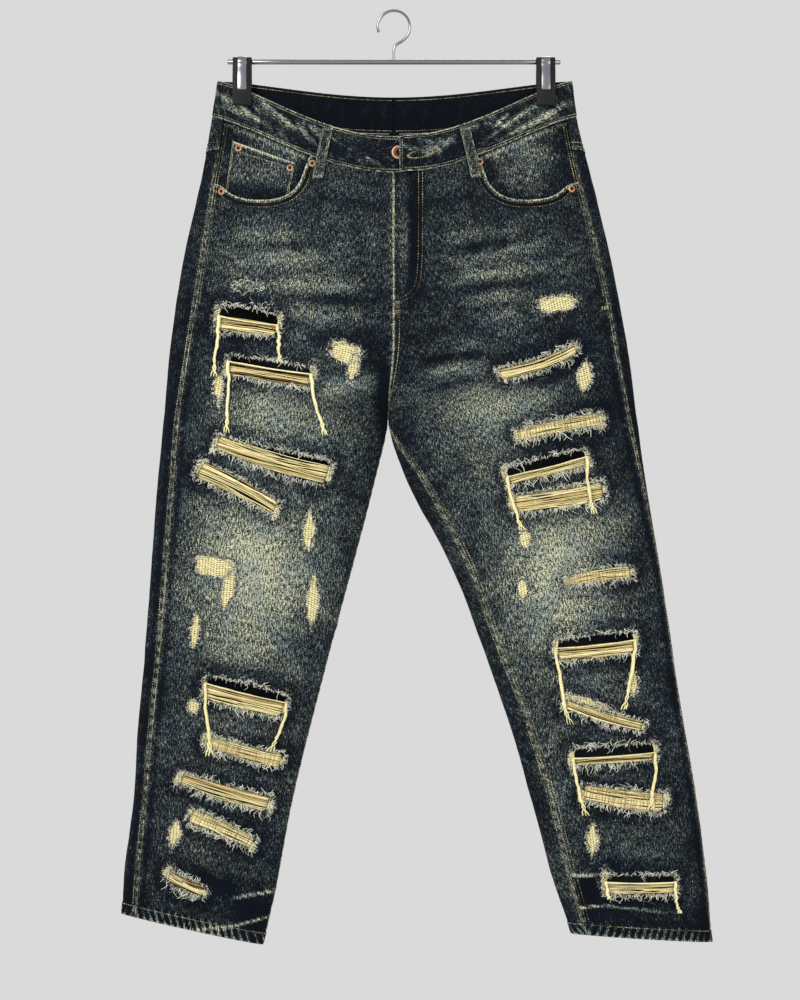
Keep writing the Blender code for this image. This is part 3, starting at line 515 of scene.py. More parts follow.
def seam_angles(side, face, drop):
    """Where a panel starts at the outseam and stops at the middle or inseam."""
    width = leg_width(side, drop)
    depth = leg_value(side, "front", drop)
    last = last_angle(drop)
    outseam = angle_at(side, drop, leg_value(side, "outseam", drop))
    inseam = np.minimum(angle_at(side, drop, leg_value(side, "inseam", drop)), last)
    half = 0.5 * PANEL_GAP
    outer_gap = half / np.hypot(0.5 * width * np.sin(outseam), depth * np.cos(outseam))
    closed = smooth(drop, CROTCH_START, CROTCH)
    round_gap = half / np.hypot(0.5 * width * np.sin(inseam), depth * np.cos(inseam))
    inner_gap = round_gap * closed + half / width * (1 - closed)
    if face == "front":
        return outseam + outer_gap, inseam - inner_gap
    return -outseam + outer_gap, last + (last - inseam) - inner_gap


print("hem of the right front at", on_cloth("right", "front", -230.0, 960.0, 0.0).round(1))

# %% [markdown]
# ## Noise that the points can read
#
# Cloth is uneven at every size. Lattice noise worked out with numpy moves the
# points themselves, so that small wrinkles are real and not only painted.


# %% Lattice noise
def lattice(seed, i, j):
    """A fixed number from 0 to 1 for each whole pair, from a sine hash."""
    value = np.sin(i * 127.1 + j * 311.7 + seed * 74.7) * 43758.5453
    return value - np.floor(value)


def noise2(x, y, size, seed):
    """Smooth noise from -1 to 1 whose lumps are about size across."""
    u = np.asarray(x, float) / size
    v = np.asarray(y, float) / size
    i, j = np.floor(u), np.floor(v)
    s, t = u - i, v - j
    s, t = s * s * (3 - 2 * s), t * t * (3 - 2 * t)
    top = lattice(seed, i, j) * (1 - s) + lattice(seed, i + 1, j) * s
    low = lattice(seed, i, j + 1) * (1 - s) + lattice(seed, i + 1, j + 1) * s
    return 2 * (top * (1 - t) + low * t) - 1


def rumple(x, y, *layers):
    """Sum of layers of noise, each given as its height, size and seed."""
    return sum(height * noise2(x, y, size, seed) for height, size, seed in layers)


print("noise spread", noise2(np.arange(500.0), 0, 7.0, 1).std().round(2))

# %% [markdown]
# ## Rips and worn patches
#
# A rip is a long rounded hole where only the white cross yarns are left. A
# worn patch has lost its blue yarns but is still closed. Each is a row of a
# table, and one signed distance tells every later step how far a point is
# from the nearest edge: negative inside, positive outside.

# %% Tables of the damage, in millimetres and degrees
Rip = namedtuple("Rip", "name leg x drop length height slope filled")
RIP_ROWS = {
    "right": (
        (-168, 281, 68, 30, 9, 0.5), (-143, 338, 94, 25, 9, 0.6), (-140, 437, 132, 26, 16, 0.85),
        (-180, 473, 98, 22, 27, 0.95), (-172, 713, 92, 30, 14, 0.6), (-173, 775, 88, 18, 15, 0.95),
        (-195, 822, 104, 19, 17, 0.95), (-199, 866, 78, 18, 24, 0.95), (-240, 929, 44, 16, 24, 0.95),
    ),
    "left": (
        (166, 327, 92, 16, -19, 0.95), (190, 402, 96, 17, -11, 0.95), (176, 448, 92, 22, -14, 0.45),
        (190, 483, 102, 24, -9, 0.95), (237, 574, 72, 16, -8, 0.95), (233, 655, 88, 28, -6, 0.55),
        (242, 734, 92, 15, 17, 0.95), (254, 780, 92, 22, -4, 0.4), (265, 829, 92, 24, 8, 0.95),
        (285, 930, 78, 24, 0, 0.55),
    ),
}
RIPS = [
    Rip(f"rip_{leg[0]}{number}", leg, *row)
    for leg, rows in RIP_ROWS.items() for number, row in enumerate(rows, 1)
]
# How far each rip bows down in its middle, and how much higher it is at its right end
SHAPES = {
    "rip_r1": (-1.0, -0.10), "rip_r3": (2.5, 0.25), "rip_r4": (-1.5, -0.15), "rip_r6": (1.5, 0.2),
    "rip_r7": (1.5, 0.15), "rip_r8": (-1.0, -0.1), "rip_r9": (1.0, 0.1), "rip_l1": (3.5, -0.05),
    "rip_l2": (-1.0, 0.1), "rip_l4": (1.0, 0.05), "rip_l5": (-1.5, 0.15), "rip_l7": (1.5, 0.1),
    "rip_l9": (2.0, 0.1), "rip_l10": (0.8, 0.0),
}
# Worn patches: leg, middle, length, height, slope
PATCHES = (
    ("right", -56, 317, 33, 22, 22), ("right", -47, 334, 12, 36, 13), ("right", -202, 358, 11, 34, 0),
    ("right", -98, 522, 14, 42, 4), ("right", -207, 563, 46, 22, 12), ("right", -191, 589, 13, 46, 14),
    ("right", -94, 602, 14, 50, 4), ("right", -229, 636, 10, 40, 8), ("right", -231, 724, 14, 14, 0),
    ("right", -253, 871, 13, 28, 12), ("left", 187, 260, 42, 17, -8), ("left", 220, 344, 17, 32, 6),
    ("left", 151, 531, 14, 22, 0), ("left", 148, 588, 12, 26, 0), ("left", 276, 697, 11, 28, 0),
    ("left", 229, 877, 13, 34, 0), ("left", 222, 720, 44, 9, 16),
)
# Places that are only fuzzed: leg, middle, length, height
SCUFFS = (("right", -168, 240, 40, 18), ("right", -150, 262, 30, 10), ("left", 205, 640, 40, 10))


def box_distance(along, across, half_length, half_height):
    """Signed distance to a box with rounded corners, negative inside."""
    corner = 0.6 * np.minimum(half_length, half_height)
    a = np.abs(along) - half_length + corner
    b = np.abs(across) - half_height + corner
    outside = np.hypot(np.maximum(a, 0), np.maximum(b, 0))
    return outside + np.minimum(np.maximum(a, b), 0) - corner


def turned(x, drop, x0, drop0, slope):
    """Lengths along and across a sloping line through (x0, drop0)."""
    c, s = math.cos(math.radians(slope)), math.sin(math.radians(slope))
    return (x - x0) * c + (drop - drop0) * s, -(x - x0) * s + (drop - drop0) * c


def placed(along, across, x0, drop0, slope):
    """The other way round: x and drop of a place along and across a sloping line."""
    c, s = math.cos(math.radians(slope)), math.sin(math.radians(slope))
    return x0 + along * c - across * s, drop0 + along * s + across * c


def rip_edge(rip, along):
    """Half the height of a rip at a place along it, and how far it bows down there."""
    bend, lean = SHAPES.get(rip.name, (0.0, 0.0))
    part = np.clip(along / (0.5 * rip.length), -1, 1)
    high = (0.5 * rip.height - 0.6) * (1.04 - 0.12 * np.abs(part) + lean * part)
    return np.maximum(high, 2.0), bend * (1 - part**2)


def rip_distance(side, x, below):
    """Signed distance to the nearest rip, with an edge that wanders."""
    nearest = np.full(np.broadcast(x, below).shape, 1e3)
    for index, rip in enumerate(RIPS):
        if rip.leg != side:
            continue
        along, across = turned(x, below, rip.x, rip.drop, rip.slope)
        wander = 0.9 * noise2(along, 0, 17.0, index) + 0.6 * noise2(along, across, 5.0, index + 40)
        high, bowed = rip_edge(rip, along)
        nearest = np.minimum(nearest, box_distance(along, across + wander - bowed, 0.5 * rip.length, high))
    return nearest


def patch_distance(side, x, below):
    """Signed distance to the nearest worn patch: blunt where wide, an oval where tall."""
    nearest = np.full(np.broadcast(x, below).shape, 1e3)
    for index, (leg, x0, drop0, length, height, slope) in enumerate(PATCHES):
        if leg != side:
            continue
        along, across = turned(x, below, x0, drop0, slope)
        wander = 1.9 * noise2(along, across, 7.0, index + 7)
        wander = wander + 1.3 * noise2(along, across * 1.6, 3.2, index)
        tail = 1 + 0.9 * np.clip(np.abs(across) / (0.5 * height) - 0.15, 0, 1) * (height > length)
        blunt = 3.5 if length > height else 2.0
        ratio = np.abs(along * tail / (0.5 * length)) ** blunt + np.abs(across / (0.5 * height)) ** blunt
        reach = ratio ** (1 / blunt) - 1
        nearest = np.minimum(nearest, reach * 0.5 * min(length, height) + wander)
    for index, rip in enumerate(RIPS):
        if rip.leg == side:
            along, across = turned(x, below, rip.x, rip.drop, rip.slope)
            past = np.abs(along) - 0.5 * rip.length - 1.5
            wander = 1.6 * noise2(along, across, 5.0, index + 70)
            size = 2.0 + 3.6 * lattice(index, np.sign(along), 3.0)
            off = across - (lattice(index, np.sign(along), 5.0) - 0.5) * 0.5 * rip.height
            nearest = np.minimum(nearest, np.hypot(past / 1.1, off / (0.09 * rip.height)) - size + wander)
    return nearest


print(len(RIPS), "rips and", len(PATCHES), "worn patches")

# %% [markdown]
# ## Wash, whiskers and pockets
#
# The wash is a sum of soft spots: pale on thighs and knees, dark at the sides,
# along the inseams and at the hems, with a painted shadow where the legs meet.
# Whiskers are soft ridges, and a ridge loses dye first, so one table both lifts
# the cloth and lightens it. It also darkens troughs, and the deep fold beside the
# fly is a painted shadow.

# %% Tables of the wash, in millimetres
# Spots of each face and leg: middle, half width, half height, strength. Most are pale; the dark one where
# the legs meet is painted shadow
SPOTS = {
    ("front", "right"): (
        (-138, 385, 72, 58, 0.38), (-152, 555, 78, 92, 0.49), (-185, 610, 60, 100, 0.14),
        # The dark spot at -8, 378 is painted shadow where the legs meet.
        (-125, 205, 85, 80, 0.11), (-170, 770, 80, 170, 0.14), (-8, 378, 9, 34, -0.75),
        (-160, 965, 28, 22, -0.20), (-168, 240, 22, 9, 0.14),
    ),
    ("front", "left"): (
        (120, 374, 68, 30, 0.36), (118, 432, 62, 60, 0.16), (186, 570, 66, 92, 0.56),
        (135, 215, 80, 70, 0.05), (235, 770, 85, 170, 0.14), (228, 948, 62, 28, -0.22),
    ),
    ("back", "right"): (
        (-112, 230, 75, 80, 0.16), (-150, 480, 75, 130, 0.16), (-190, 760, 60, 140, 0.10),
    ),
    ("back", "left"): (
        (112, 230, 75, 80, 0.16), (150, 480, 75, 130, 0.16), (230, 760, 60, 140, 0.10),
    ),
}
# Ridges of each face: x0, drop0, x1, drop1, half width, raise, lightening. A negative lightening darkens a
# trough; beside the fly it is painted shadow
RIDGES = {
    "front": (
        (59, 184, 154, 174, 6, 0.7, 0.16), (60, 213, 169, 190, 6, 0.8, 0.16),
        (63, 234, 177, 219, 6, 0.9, 0.20), (78, 258, 162, 246, 5, 0.8, 0.16),
        (110, 278, 144, 273, 5, 0.5, 0.14), (30, 313, 103, 305, 6, 0.9, 0.15),
        # The trough at x 26 beside the fly is darkened as painted shadow of its fold.
        (27, 342, 103, 332, 6, 1.0, 0.22), (26, 105, 24, 248, 6, -0.8, -0.28),
        (13, 128, 12, 236, 4, 0.5, 0.12), (70, 198, 160, 184, 5, -0.8, -0.12),
        (62, 246, 170, 233, 5, -0.9, -0.14), (40, 326, 110, 318, 5, -0.9, -0.14),
        (40, 358, 110, 345, 6, -1.0, -0.12), (-191, 180, -86, 182, 7, 0.7, 0.14),
        (-183, 210, -61, 203, 7, 0.9, 0.17), (-143, 238, -37, 242, 7, 0.9, 0.17),
        (-126, 269, -29, 275, 7, 0.8, 0.15), (-86, 362, -12, 347, 7, 1.1, 0.22),
        (-170, 194, -70, 192, 5, -0.7, -0.12), (-120, 252, -30, 256, 5, -0.9, -0.14),
        (-100, 300, -20, 310, 8, -0.9, -0.12), (-186, 946, -130, 937, 1.1, 0.8, 0.85),
        (-232, 982, -180, 978, 1.1, 0.6, 0.60), (-196, 981, -136, 966, 1.1, 0.8, 0.85),
        (-230, 925, -180, 935, 6, -1.2, -0.25), (164, 922, 262, 918, 1.1, 0.8, 0.90),
        (180, 960, 256, 953, 1.1, 0.8, 0.80), (240, 955, 318, 962, 1.1, 0.7, 0.55),
        (190, 940, 300, 938, 7, -1.4, -0.30), (-95, 600, -60, 640, 7, 0.9, 0.08),
        (-230, 655, -150, 668, 9, 0.9, 0.06), (120, 640, 190, 655, 9, 0.9, 0.06),
        (215, 520, 290, 505, 9, 0.9, 0.06), (-250, 500, -215, 530, 8, -0.9, -0.06),
    ),
    "back": (
        (-200, 250, -60, 268, 8, 1.0, 0.14), (-210, 300, -70, 292, 8, 1.0, 0.14),
        (60, 262, 200, 248, 8, 1.0, 0.14), (70, 300, 215, 306, 8, 1.0, 0.14),
        (-70, 330, -20, 372, 9, 1.2, 0.12), (20, 372, 70, 332, 9, 1.2, 0.12),
        (-240, 560, -110, 575, 9, 1.2, 0.20), (-245, 622, -120, 610, 8, 1.1, 0.18),
        (-235, 690, -140, 700, 8, 0.9, 0.12), (110, 575, 270, 558, 9, 1.2, 0.20),
        (130, 612, 280, 625, 8, 1.1, 0.18), (160, 700, 280, 688, 8, 0.9, 0.12),
        (-280, 950, -190, 958, 4, 1.0, 0.28), (230, 955, 330, 948, 4, 1.0, 0.28),
    ),
}
POCKET_EDGE = (
    (92, 78), (98, 92), (104, 106), (109, 120), (121, 133), (142, 140), (170, 139), (188, 133),
    (204, 121), (240, 112),
)
POCKET_ABOVE = -20.0
WASH_GROUND = 0.104
SIDE_DARK, INSEAM_DARK, HEM_DARK = 0.07, 0.05, 0.08
# Below zero, the fade lets the painted shadows at the crotch and beside the fly go darker.
FADE_RANGE = (-0.22, 1.0)
UNHARMED = 40.0


def wash_and_shade(side, face, x, below):
    """How much dye is gone, less a painted shadow where the legs meet: soft spots over an even ground,
    from about 0 to 1.
    """
    total = WASH_GROUND + 0 * x
    for x0, drop0, half_x, half_drop, strength in SPOTS[face, side]:
        total = total + strength * bell(np.hypot((x - x0) / half_x, (below - drop0) / half_drop), 1)
    outer = leg_value(side, "outer", below)
    inner = leg_value(side, "inner", below)
    share = (x - outer) / (inner - outer)
    total = total - SIDE_DARK * (1 - smooth(share, 0.0, 0.2))
    total = total - INSEAM_DARK * smooth(share, 0.8, 1.0) * smooth(below, 300, 420)
    return total - HEM_DARK * smooth(below, hem_drop(side) - 60, hem_drop(side) - 20)


def ridges(face, x, drop):
    """Height and lightening of the small ridges, bells across short lines; the darkened fold beside the
    fly is painted shadow.
    """
    height, light = 0 * x, 0 * x
    for x0, drop0, x1, drop1, half_width, raised, pale in RIDGES[face]:
        along, across, length = along_line(x, drop, x0, drop0, x1, drop1)
        across = across + 0.35 * half_width * noise2(along, drop0, 22.0, int(abs(x0)) % 50)
        ends = between_ends(along, length, 0.2, 0.35)
        height = height + raised * bell(across, half_width) * ends
        light = light + 1.25 * pale * bell(across, 1.4 * half_width) * ends
    return height, light


def polygon_distance(x, y, corners):
    """Signed distance to a closed outline, negative inside it."""
    nearest = np.full(np.broadcast(x, y).shape, 1e6)
    inside = np.zeros(nearest.shape, bool)
    for (ax, ay), (bx, by) in zip(corners, corners[1:] + corners[:1]):
        run_x, run_y = bx - ax, by - ay
        part = np.clip(((x - ax) * run_x + (y - ay) * run_y) / (run_x**2 + run_y**2), 0, 1)
        nearest = np.minimum(nearest, np.hypot(x - ax - part * run_x, y - ay - part * run_y))
        if ay != by:
            crosses = (ay > y) != (by > y)
            inside = inside ^ (crosses & (x < ax + (y - ay) * run_x / run_y))
    return np.where(inside, -nearest, nearest)


def rounded_path(points, steps):
    """A smooth path through a few points, as a cubic curve in each span."""
    points = np.array(points, float)
    slopes = np.gradient(points, axis=0)
    at = np.linspace(0, len(points) - 1, steps)
    start = np.minimum(at.astype(int), len(points) - 2)
    part = (at - start)[:, None]
    return cubic(points, slopes, start, part)


def pocket_path(side):
    """The pocket's edge in x and drop, from the middle to the outseam."""
    path = rounded_path(POCKET_EDGE, 60)
    return path * np.array([-1.0 if side == "right" else 1.0, 1.0])


def pocket_distance(side, x, below):
    """Signed distance to the pocket mouth, negative where the front is cut away."""
    sign = -1.0 if side == "right" else 1.0
    corners = [tuple(point) for point in pocket_path(side)[::3]]
    corners += [(sign * 255, 110.0), (sign * 255, POCKET_ABOVE), (sign * 92, POCKET_ABOVE)]
    return polygon_distance(x, below, corners)


print("wash at the right knee", float(wash_and_shade("right", "front", np.array(-150.0), np.array(555.0)).round(2)))

# %% [markdown]
# ## Denim
#
# Denim is blue across the surface and white inside. Its look comes from
# uneven yarns: long streaks down the warp, small specks where the white shows,
# and a ramp from near black to a greenish grey as the dye goes. Numbers stored
# on the points say how washed each place is, with painted shade and shadow
# added in, and how far it is from a patch that is worn bare. Inner faces are
# painted dark, as shade.


# %% Denim material
def denim(name, gain=1.0):
    """Washed denim: a ramp of dye loss and painted shade under coarse specks, with bare weave in the
    patches.
    """
    paint = Paint(name)
    flat = paint.cloth((1.0, 1.0, 1.0))
    speck = paint.grain(800.0, 660.0, 1.5, 0.7)
    rain = paint.grain(700.0, 170.0, 1.5, 0.6)
    slub = paint.grain(150.0, 14.0, 2.0, 0.6)
    mottle = paint.noise(flat, 60.0, 3.0, 0.6)
    cloud = paint.grain(11.0, 17.0, 2.0, 0.5)
    cast = (mottle - 0.5) * 0.40 + (cloud - 0.5) * 0.30 + (slub - 0.5) * 0.12
    # The fade read from the points is dye loss with painted shade and shadow in it.
    dye_lost_and_shade = (paint.given("fade") + cast) * gain
    grain = (speck - 0.5) * 4.8 + (rain - 0.5) * 4.2
    tone = (dye_lost_and_shade + grain * (dye_lost_and_shade * 0.66 + 0.26 * gain**0.7)).most(0.0)
    colour = paint.ramp(tone, (
        (0.0, (0.0022, 0.0034, 0.0060)),
        (0.14, (0.0070, 0.0100, 0.0120)),
        (0.32, (0.0340, 0.0450, 0.0470)),
        (0.52, (0.112, 0.130, 0.116)),
        (0.76, (0.310, 0.315, 0.210)),
        (1.0, (0.560, 0.560, 0.380)),
    ))
    tint = paint.noise(flat, 22.0, 2.0, 0.6).step(0.46, 0.62)
    navy = paint.mix(tone.step(0.1, 0.7), (0.003, 0.006, 0.014), (0.17, 0.23, 0.24))
    colour = paint.mix(tint * 0.4, colour, navy)
    fuzz = paint.grain(560.0, 300.0, 2.0, 0.7)
    patch = paint.given("patch") + (fuzz - 0.5) * 5.0
    bare = 1.0 - patch.step(-0.5, 0.5)
    lines = paint.wave(paint.cloth((3.0, 124.0, 1.0)), "Y").step(0.02, 0.40)
    columns = paint.wave(paint.cloth((92.0, 3.0, 1.0)), "X").step(0.02, 0.22)
    broken = paint.grain(130.0, 620.0, 1.0, 0.6)
    weave = lines * 0.26 + columns * 0.22 + broken * 0.60 + 0.02
    # The darkest stop, between the threads of the bare weave, is painted shade in the gaps.
    threads = paint.ramp(weave, (
        (0.34, (0.035, 0.022, 0.008)),
        (0.52, (0.290, 0.190, 0.070)),
        (0.68, (0.610, 0.540, 0.250)),
        (0.85, (0.840, 0.810, 0.480)),
    ))
    colour = paint.mix(bare, colour, threads)
    near = paint.given("patch").step(0.5, 6.0)
    rim = (1.0 - near) * (1.0 - bare)
    fringe = paint.mix(fuzz.step(0.52, 0.60), (0.002, 0.003, 0.005), (0.42, 0.44, 0.38))
    colour = paint.mix(rim * 0.75, colour, fringe)
    paint.bump(grain * 0.5 + bare * weave * 1.6, 0.6, 0.0006)
    return paint.finish(Base_Color=colour, Roughness=0.9, Specular_IOR_Level=0.08)


def denim_inside_shaded():
    """The inner face: the paler weft side, painted dark as shade where it is seen inside, through the rips
    and the waist.
    """
    paint = Paint("denim_inside_shaded")
    flat = paint.cloth((1.0, 1.0, 1.0))
    streak = paint.grain(520.0, 90.0, 2.0, 0.6)
    speck = paint.noise(flat, 800.0, 2.0, 0.7)
    tone = 0.34 + (streak - 0.5) * 0.5 + (speck - 0.5) * 0.9
    colour = paint.ramp(tone, (
        (0.0, (0.010, 0.013, 0.018)), (0.5, (0.060, 0.070, 0.078)), (1.0, (0.24, 0.25, 0.24)),
    ))
    paint.bump(streak + speck, 0.4, 0.0005)
    return paint.finish(Base_Color=colour, Roughness=0.92, Specular_IOR_Level=0.1)


DENIM = denim("denim_outside")
# A darker copy of the denim is painted shade on the inner faces of the band and yokes.
BAND_IN_SHADED = denim("denim_band_inside_shaded", 0.2)
# The dark inner face is painted shade for the insides seen through the waist and the rips.
DENIM_IN_SHADED = denim_inside_shaded()
print("materials:", [material.name for material in bpy.data.materials if "denim" in material.name])

# %% [markdown]
# ## The panels
#
# A panel is a fine grid of points on the skin. Each point is moved out or in
# by its small relief: ridges, puckers at the seams, a rope-like twist in the
# hem and an edge that curls up round every rip. Cells inside a rip are left
# out, and the points along the hole are pulled onto its outline.


# %% Panels
THIN = 1.3
GRIDS = {"front": (350, 102), "back": (232, 72)}
HEM_TURN = 1.2
MIDDLE_LAP = 1.6
MIDDLE_RAISE = 1.5
MIDDLE_END = (CROTCH - 40, CROTCH - 5)
BAND_FOOT = BAND_HEIGHT + SEAM_GAP
SNAP_LIMIT = 1.2
PUCKER, PUCKER_PITCH, PUCKER_REACH = 0.28, 13.0, 7.0
ROPE, ROPE_PITCH = 0.45, 8.5
CURL, CURL_REACH = 0.9, 4.5
SAG, SAG_REACH = 0.5, 16.0


def to_mesh(name, points, faces, materials, uvs=None, numbers=None):
    """A mesh from arrays: points in millimetres, faces, a UV a point and numbers."""
    used, inverse = np.unique(faces, return_inverse=True)
    faces = inverse.reshape(faces.shape)
    mesh = bpy.data.meshes.new(name)
    mesh.from_pydata((points[used] * MM).tolist(), [], faces.tolist())
    if uvs is not None:
        layer = mesh.uv_layers.new(name="cloth")
        layer.uv.foreach_set("vector", (uvs[used][faces.ravel()] * MM).ravel().astype(np.float32))
    for key, values in (numbers or {}).items():
        attribute = mesh.attributes.new(key, "FLOAT", "POINT")
        attribute.data.foreach_set("value", np.asarray(values, np.float32)[used])
    mesh.shade_smooth()
    for material in materials:
        mesh.materials.append(material)
    obj = bpy.data.objects.new(name, mesh)
    bpy.context.collection.objects.link(obj)
    return obj


def grid_quads(rows, columns):
    """The four corners of every cell of a grid of points."""
    index = np.arange(rows * columns).reshape(rows, columns)
    return np.stack([index[:-1, :-1], index[1:, :-1], index[1:, 1:], index[:-1, 1:]], axis=-1)


def cloth_piece(name, points, facing, uvs, numbers, keep, thin, slots):
    """A thin shell from a grid of points: one outer face, thickened inwards."""
    quads = grid_quads(*points.shape[:2])
    quads = quads.reshape(-1, 4) if keep is None else quads[keep]
    flat = points.reshape(-1, 3)
    normal = np.cross(flat[quads[:, 2]] - flat[quads[:, 0]], flat[quads[:, 3]] - flat[quads[:, 1]])
    if np.sum(normal * facing.reshape(-1, 3)[quads[:, 0]]) < 0:
        quads = quads[:, ::-1]
    values = {key: value.ravel() for key, value in numbers.items()}
    obj = to_mesh(name, flat, quads, slots, uvs.reshape(-1, 2), values)
    solid = obj.modifiers.new("thickness", "SOLIDIFY")
    solid.thickness = thin * MM
    solid.offset = -1.0
    solid.use_rim = True
    solid.material_offset = 1
    solid.material_offset_rim = 1
    return obj


def flat_lengths(points):
    """Lengths across from the grid's first column and down from its first row."""
    across = np.linalg.norm(np.diff(points, axis=1), axis=-1)
    down = np.linalg.norm(np.diff(points, axis=0), axis=-1)
    u = np.concatenate([np.zeros((points.shape[0], 1)), np.cumsum(across, axis=1)], axis=1)
    v = np.concatenate([np.zeros((1, points.shape[1])), np.cumsum(down, axis=0)], axis=0)
    return np.stack([u, v], axis=-1)


def fly_lap(drop):
    """How far the left front laps past the middle, and how far it is raised."""
    past = FLY_LAP * (1 - smooth(drop, FLY_END - 70, FLY_END - 45))
    raised = FLY_RAISE * (1 - smooth(drop, FLY_END - 10, FLY_END + 20))
    return past, raised


def panel_turn(side, face, share, drop):
    """The turn of a panel's point from its share of the way across."""
    start, stop = seam_angles(side, face, drop)
    if side == "left":
        past = fly_lap(drop)[0] if face == "front" else 0
        past = np.maximum(past, MIDDLE_LAP * (1 - smooth(drop, *MIDDLE_END)))
        stop = stop + past / np.abs(leg_value(side, "outer", drop))
    return start + (stop - start) * share


def panel_top(face, share):
    """Where a front or back starts: under the band, or under the sloping yoke."""
    top = BAND_FOOT + 0 * share
    if face == "back":
        top = top + YOKE_SIDE + (YOKE_MIDDLE - YOKE_SIDE) * share + SEAM_GAP
    return top


def damage(side, face, share, drop):
    """Distances to the nearest rip or pocket mouth and to the nearest patch."""
    point = skin(side, face, np.clip(panel_turn(side, face, share, drop), 0, None), drop)
    x, below = point[..., 0], -point[..., 2] - WAIST_BELOW_HOOK
    if face == "back":
        return x, below, UNHARMED + 0 * x, UNHARMED + 0 * x, UNHARMED + 0 * x
    mouth, patch = pocket_distance(side, x, below), patch_distance(side, x, below)
    return x, below, rip_distance(side, x, below), mouth, patch


def snap(side, face, share, drop, width):
    """Pull the points along each hole onto its outline by two Newton steps."""
    _, _, rip, mouth, _ = damage(side, face, share, drop)
    hole = np.minimum(rip, mouth)
    middle = 0.25 * (hole[:-1, :-1] + hole[1:, :-1] + hole[:-1, 1:] + hole[1:, 1:])
    keep = middle > 0
    touched = np.zeros(hole.shape, bool)
    gone = np.zeros(hole.shape, bool)
    for rows in (slice(None, -1), slice(1, None)):
        for columns in (slice(None, -1), slice(1, None)):
            touched[rows, columns] |= keep
            gone[rows, columns] |= ~keep
    edge = touched & gone
    for _ in range(2):
        across = np.gradient(hole, axis=1) / np.maximum(np.gradient(share * width, axis=1), 1e-6)
        down = np.gradient(hole, axis=0) / np.maximum(np.gradient(drop, axis=0), 1e-6)
        size = np.maximum(across**2 + down**2, 0.3)
        step = np.where(edge, hole / size, 0)
        share = share - np.clip(step * across, -SNAP_LIMIT, SNAP_LIMIT) / width
        drop = drop - np.clip(step * down, -SNAP_LIMIT, SNAP_LIMIT)
        _, _, rip, mouth, _ = damage(side, face, share, drop)
        hole = np.where(edge, np.minimum(rip, mouth), hole)
    return share, drop, keep


LAID = {}
KEPT = {}


def lay(key, place, side, face, first, drop, out):
    """Points of a sheet and the way it faces, kept so that stitches can lie on it."""
    points = place(side, face, first, drop, out)
    LAID[key] = (points, points - place(side, face, first, drop, out - 1.0))
    return LAID[key]


def register(obj, slot, *nodes):
    """Let a piece ride on the only body and stand for the solids it covers."""
    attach(obj, "root")
    if nodes:
        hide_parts(*nodes)
    return obj


def shares(grid, low=0.0, high=1.0):
    """Shares across and down for every point of a grid of cells."""
    rows, columns = grid
    across = np.linspace(low, high, columns + 1)[None, :] + np.zeros((rows + 1, 1))
    return across, np.linspace(0, 1, rows + 1)[:, None] + 0 * across


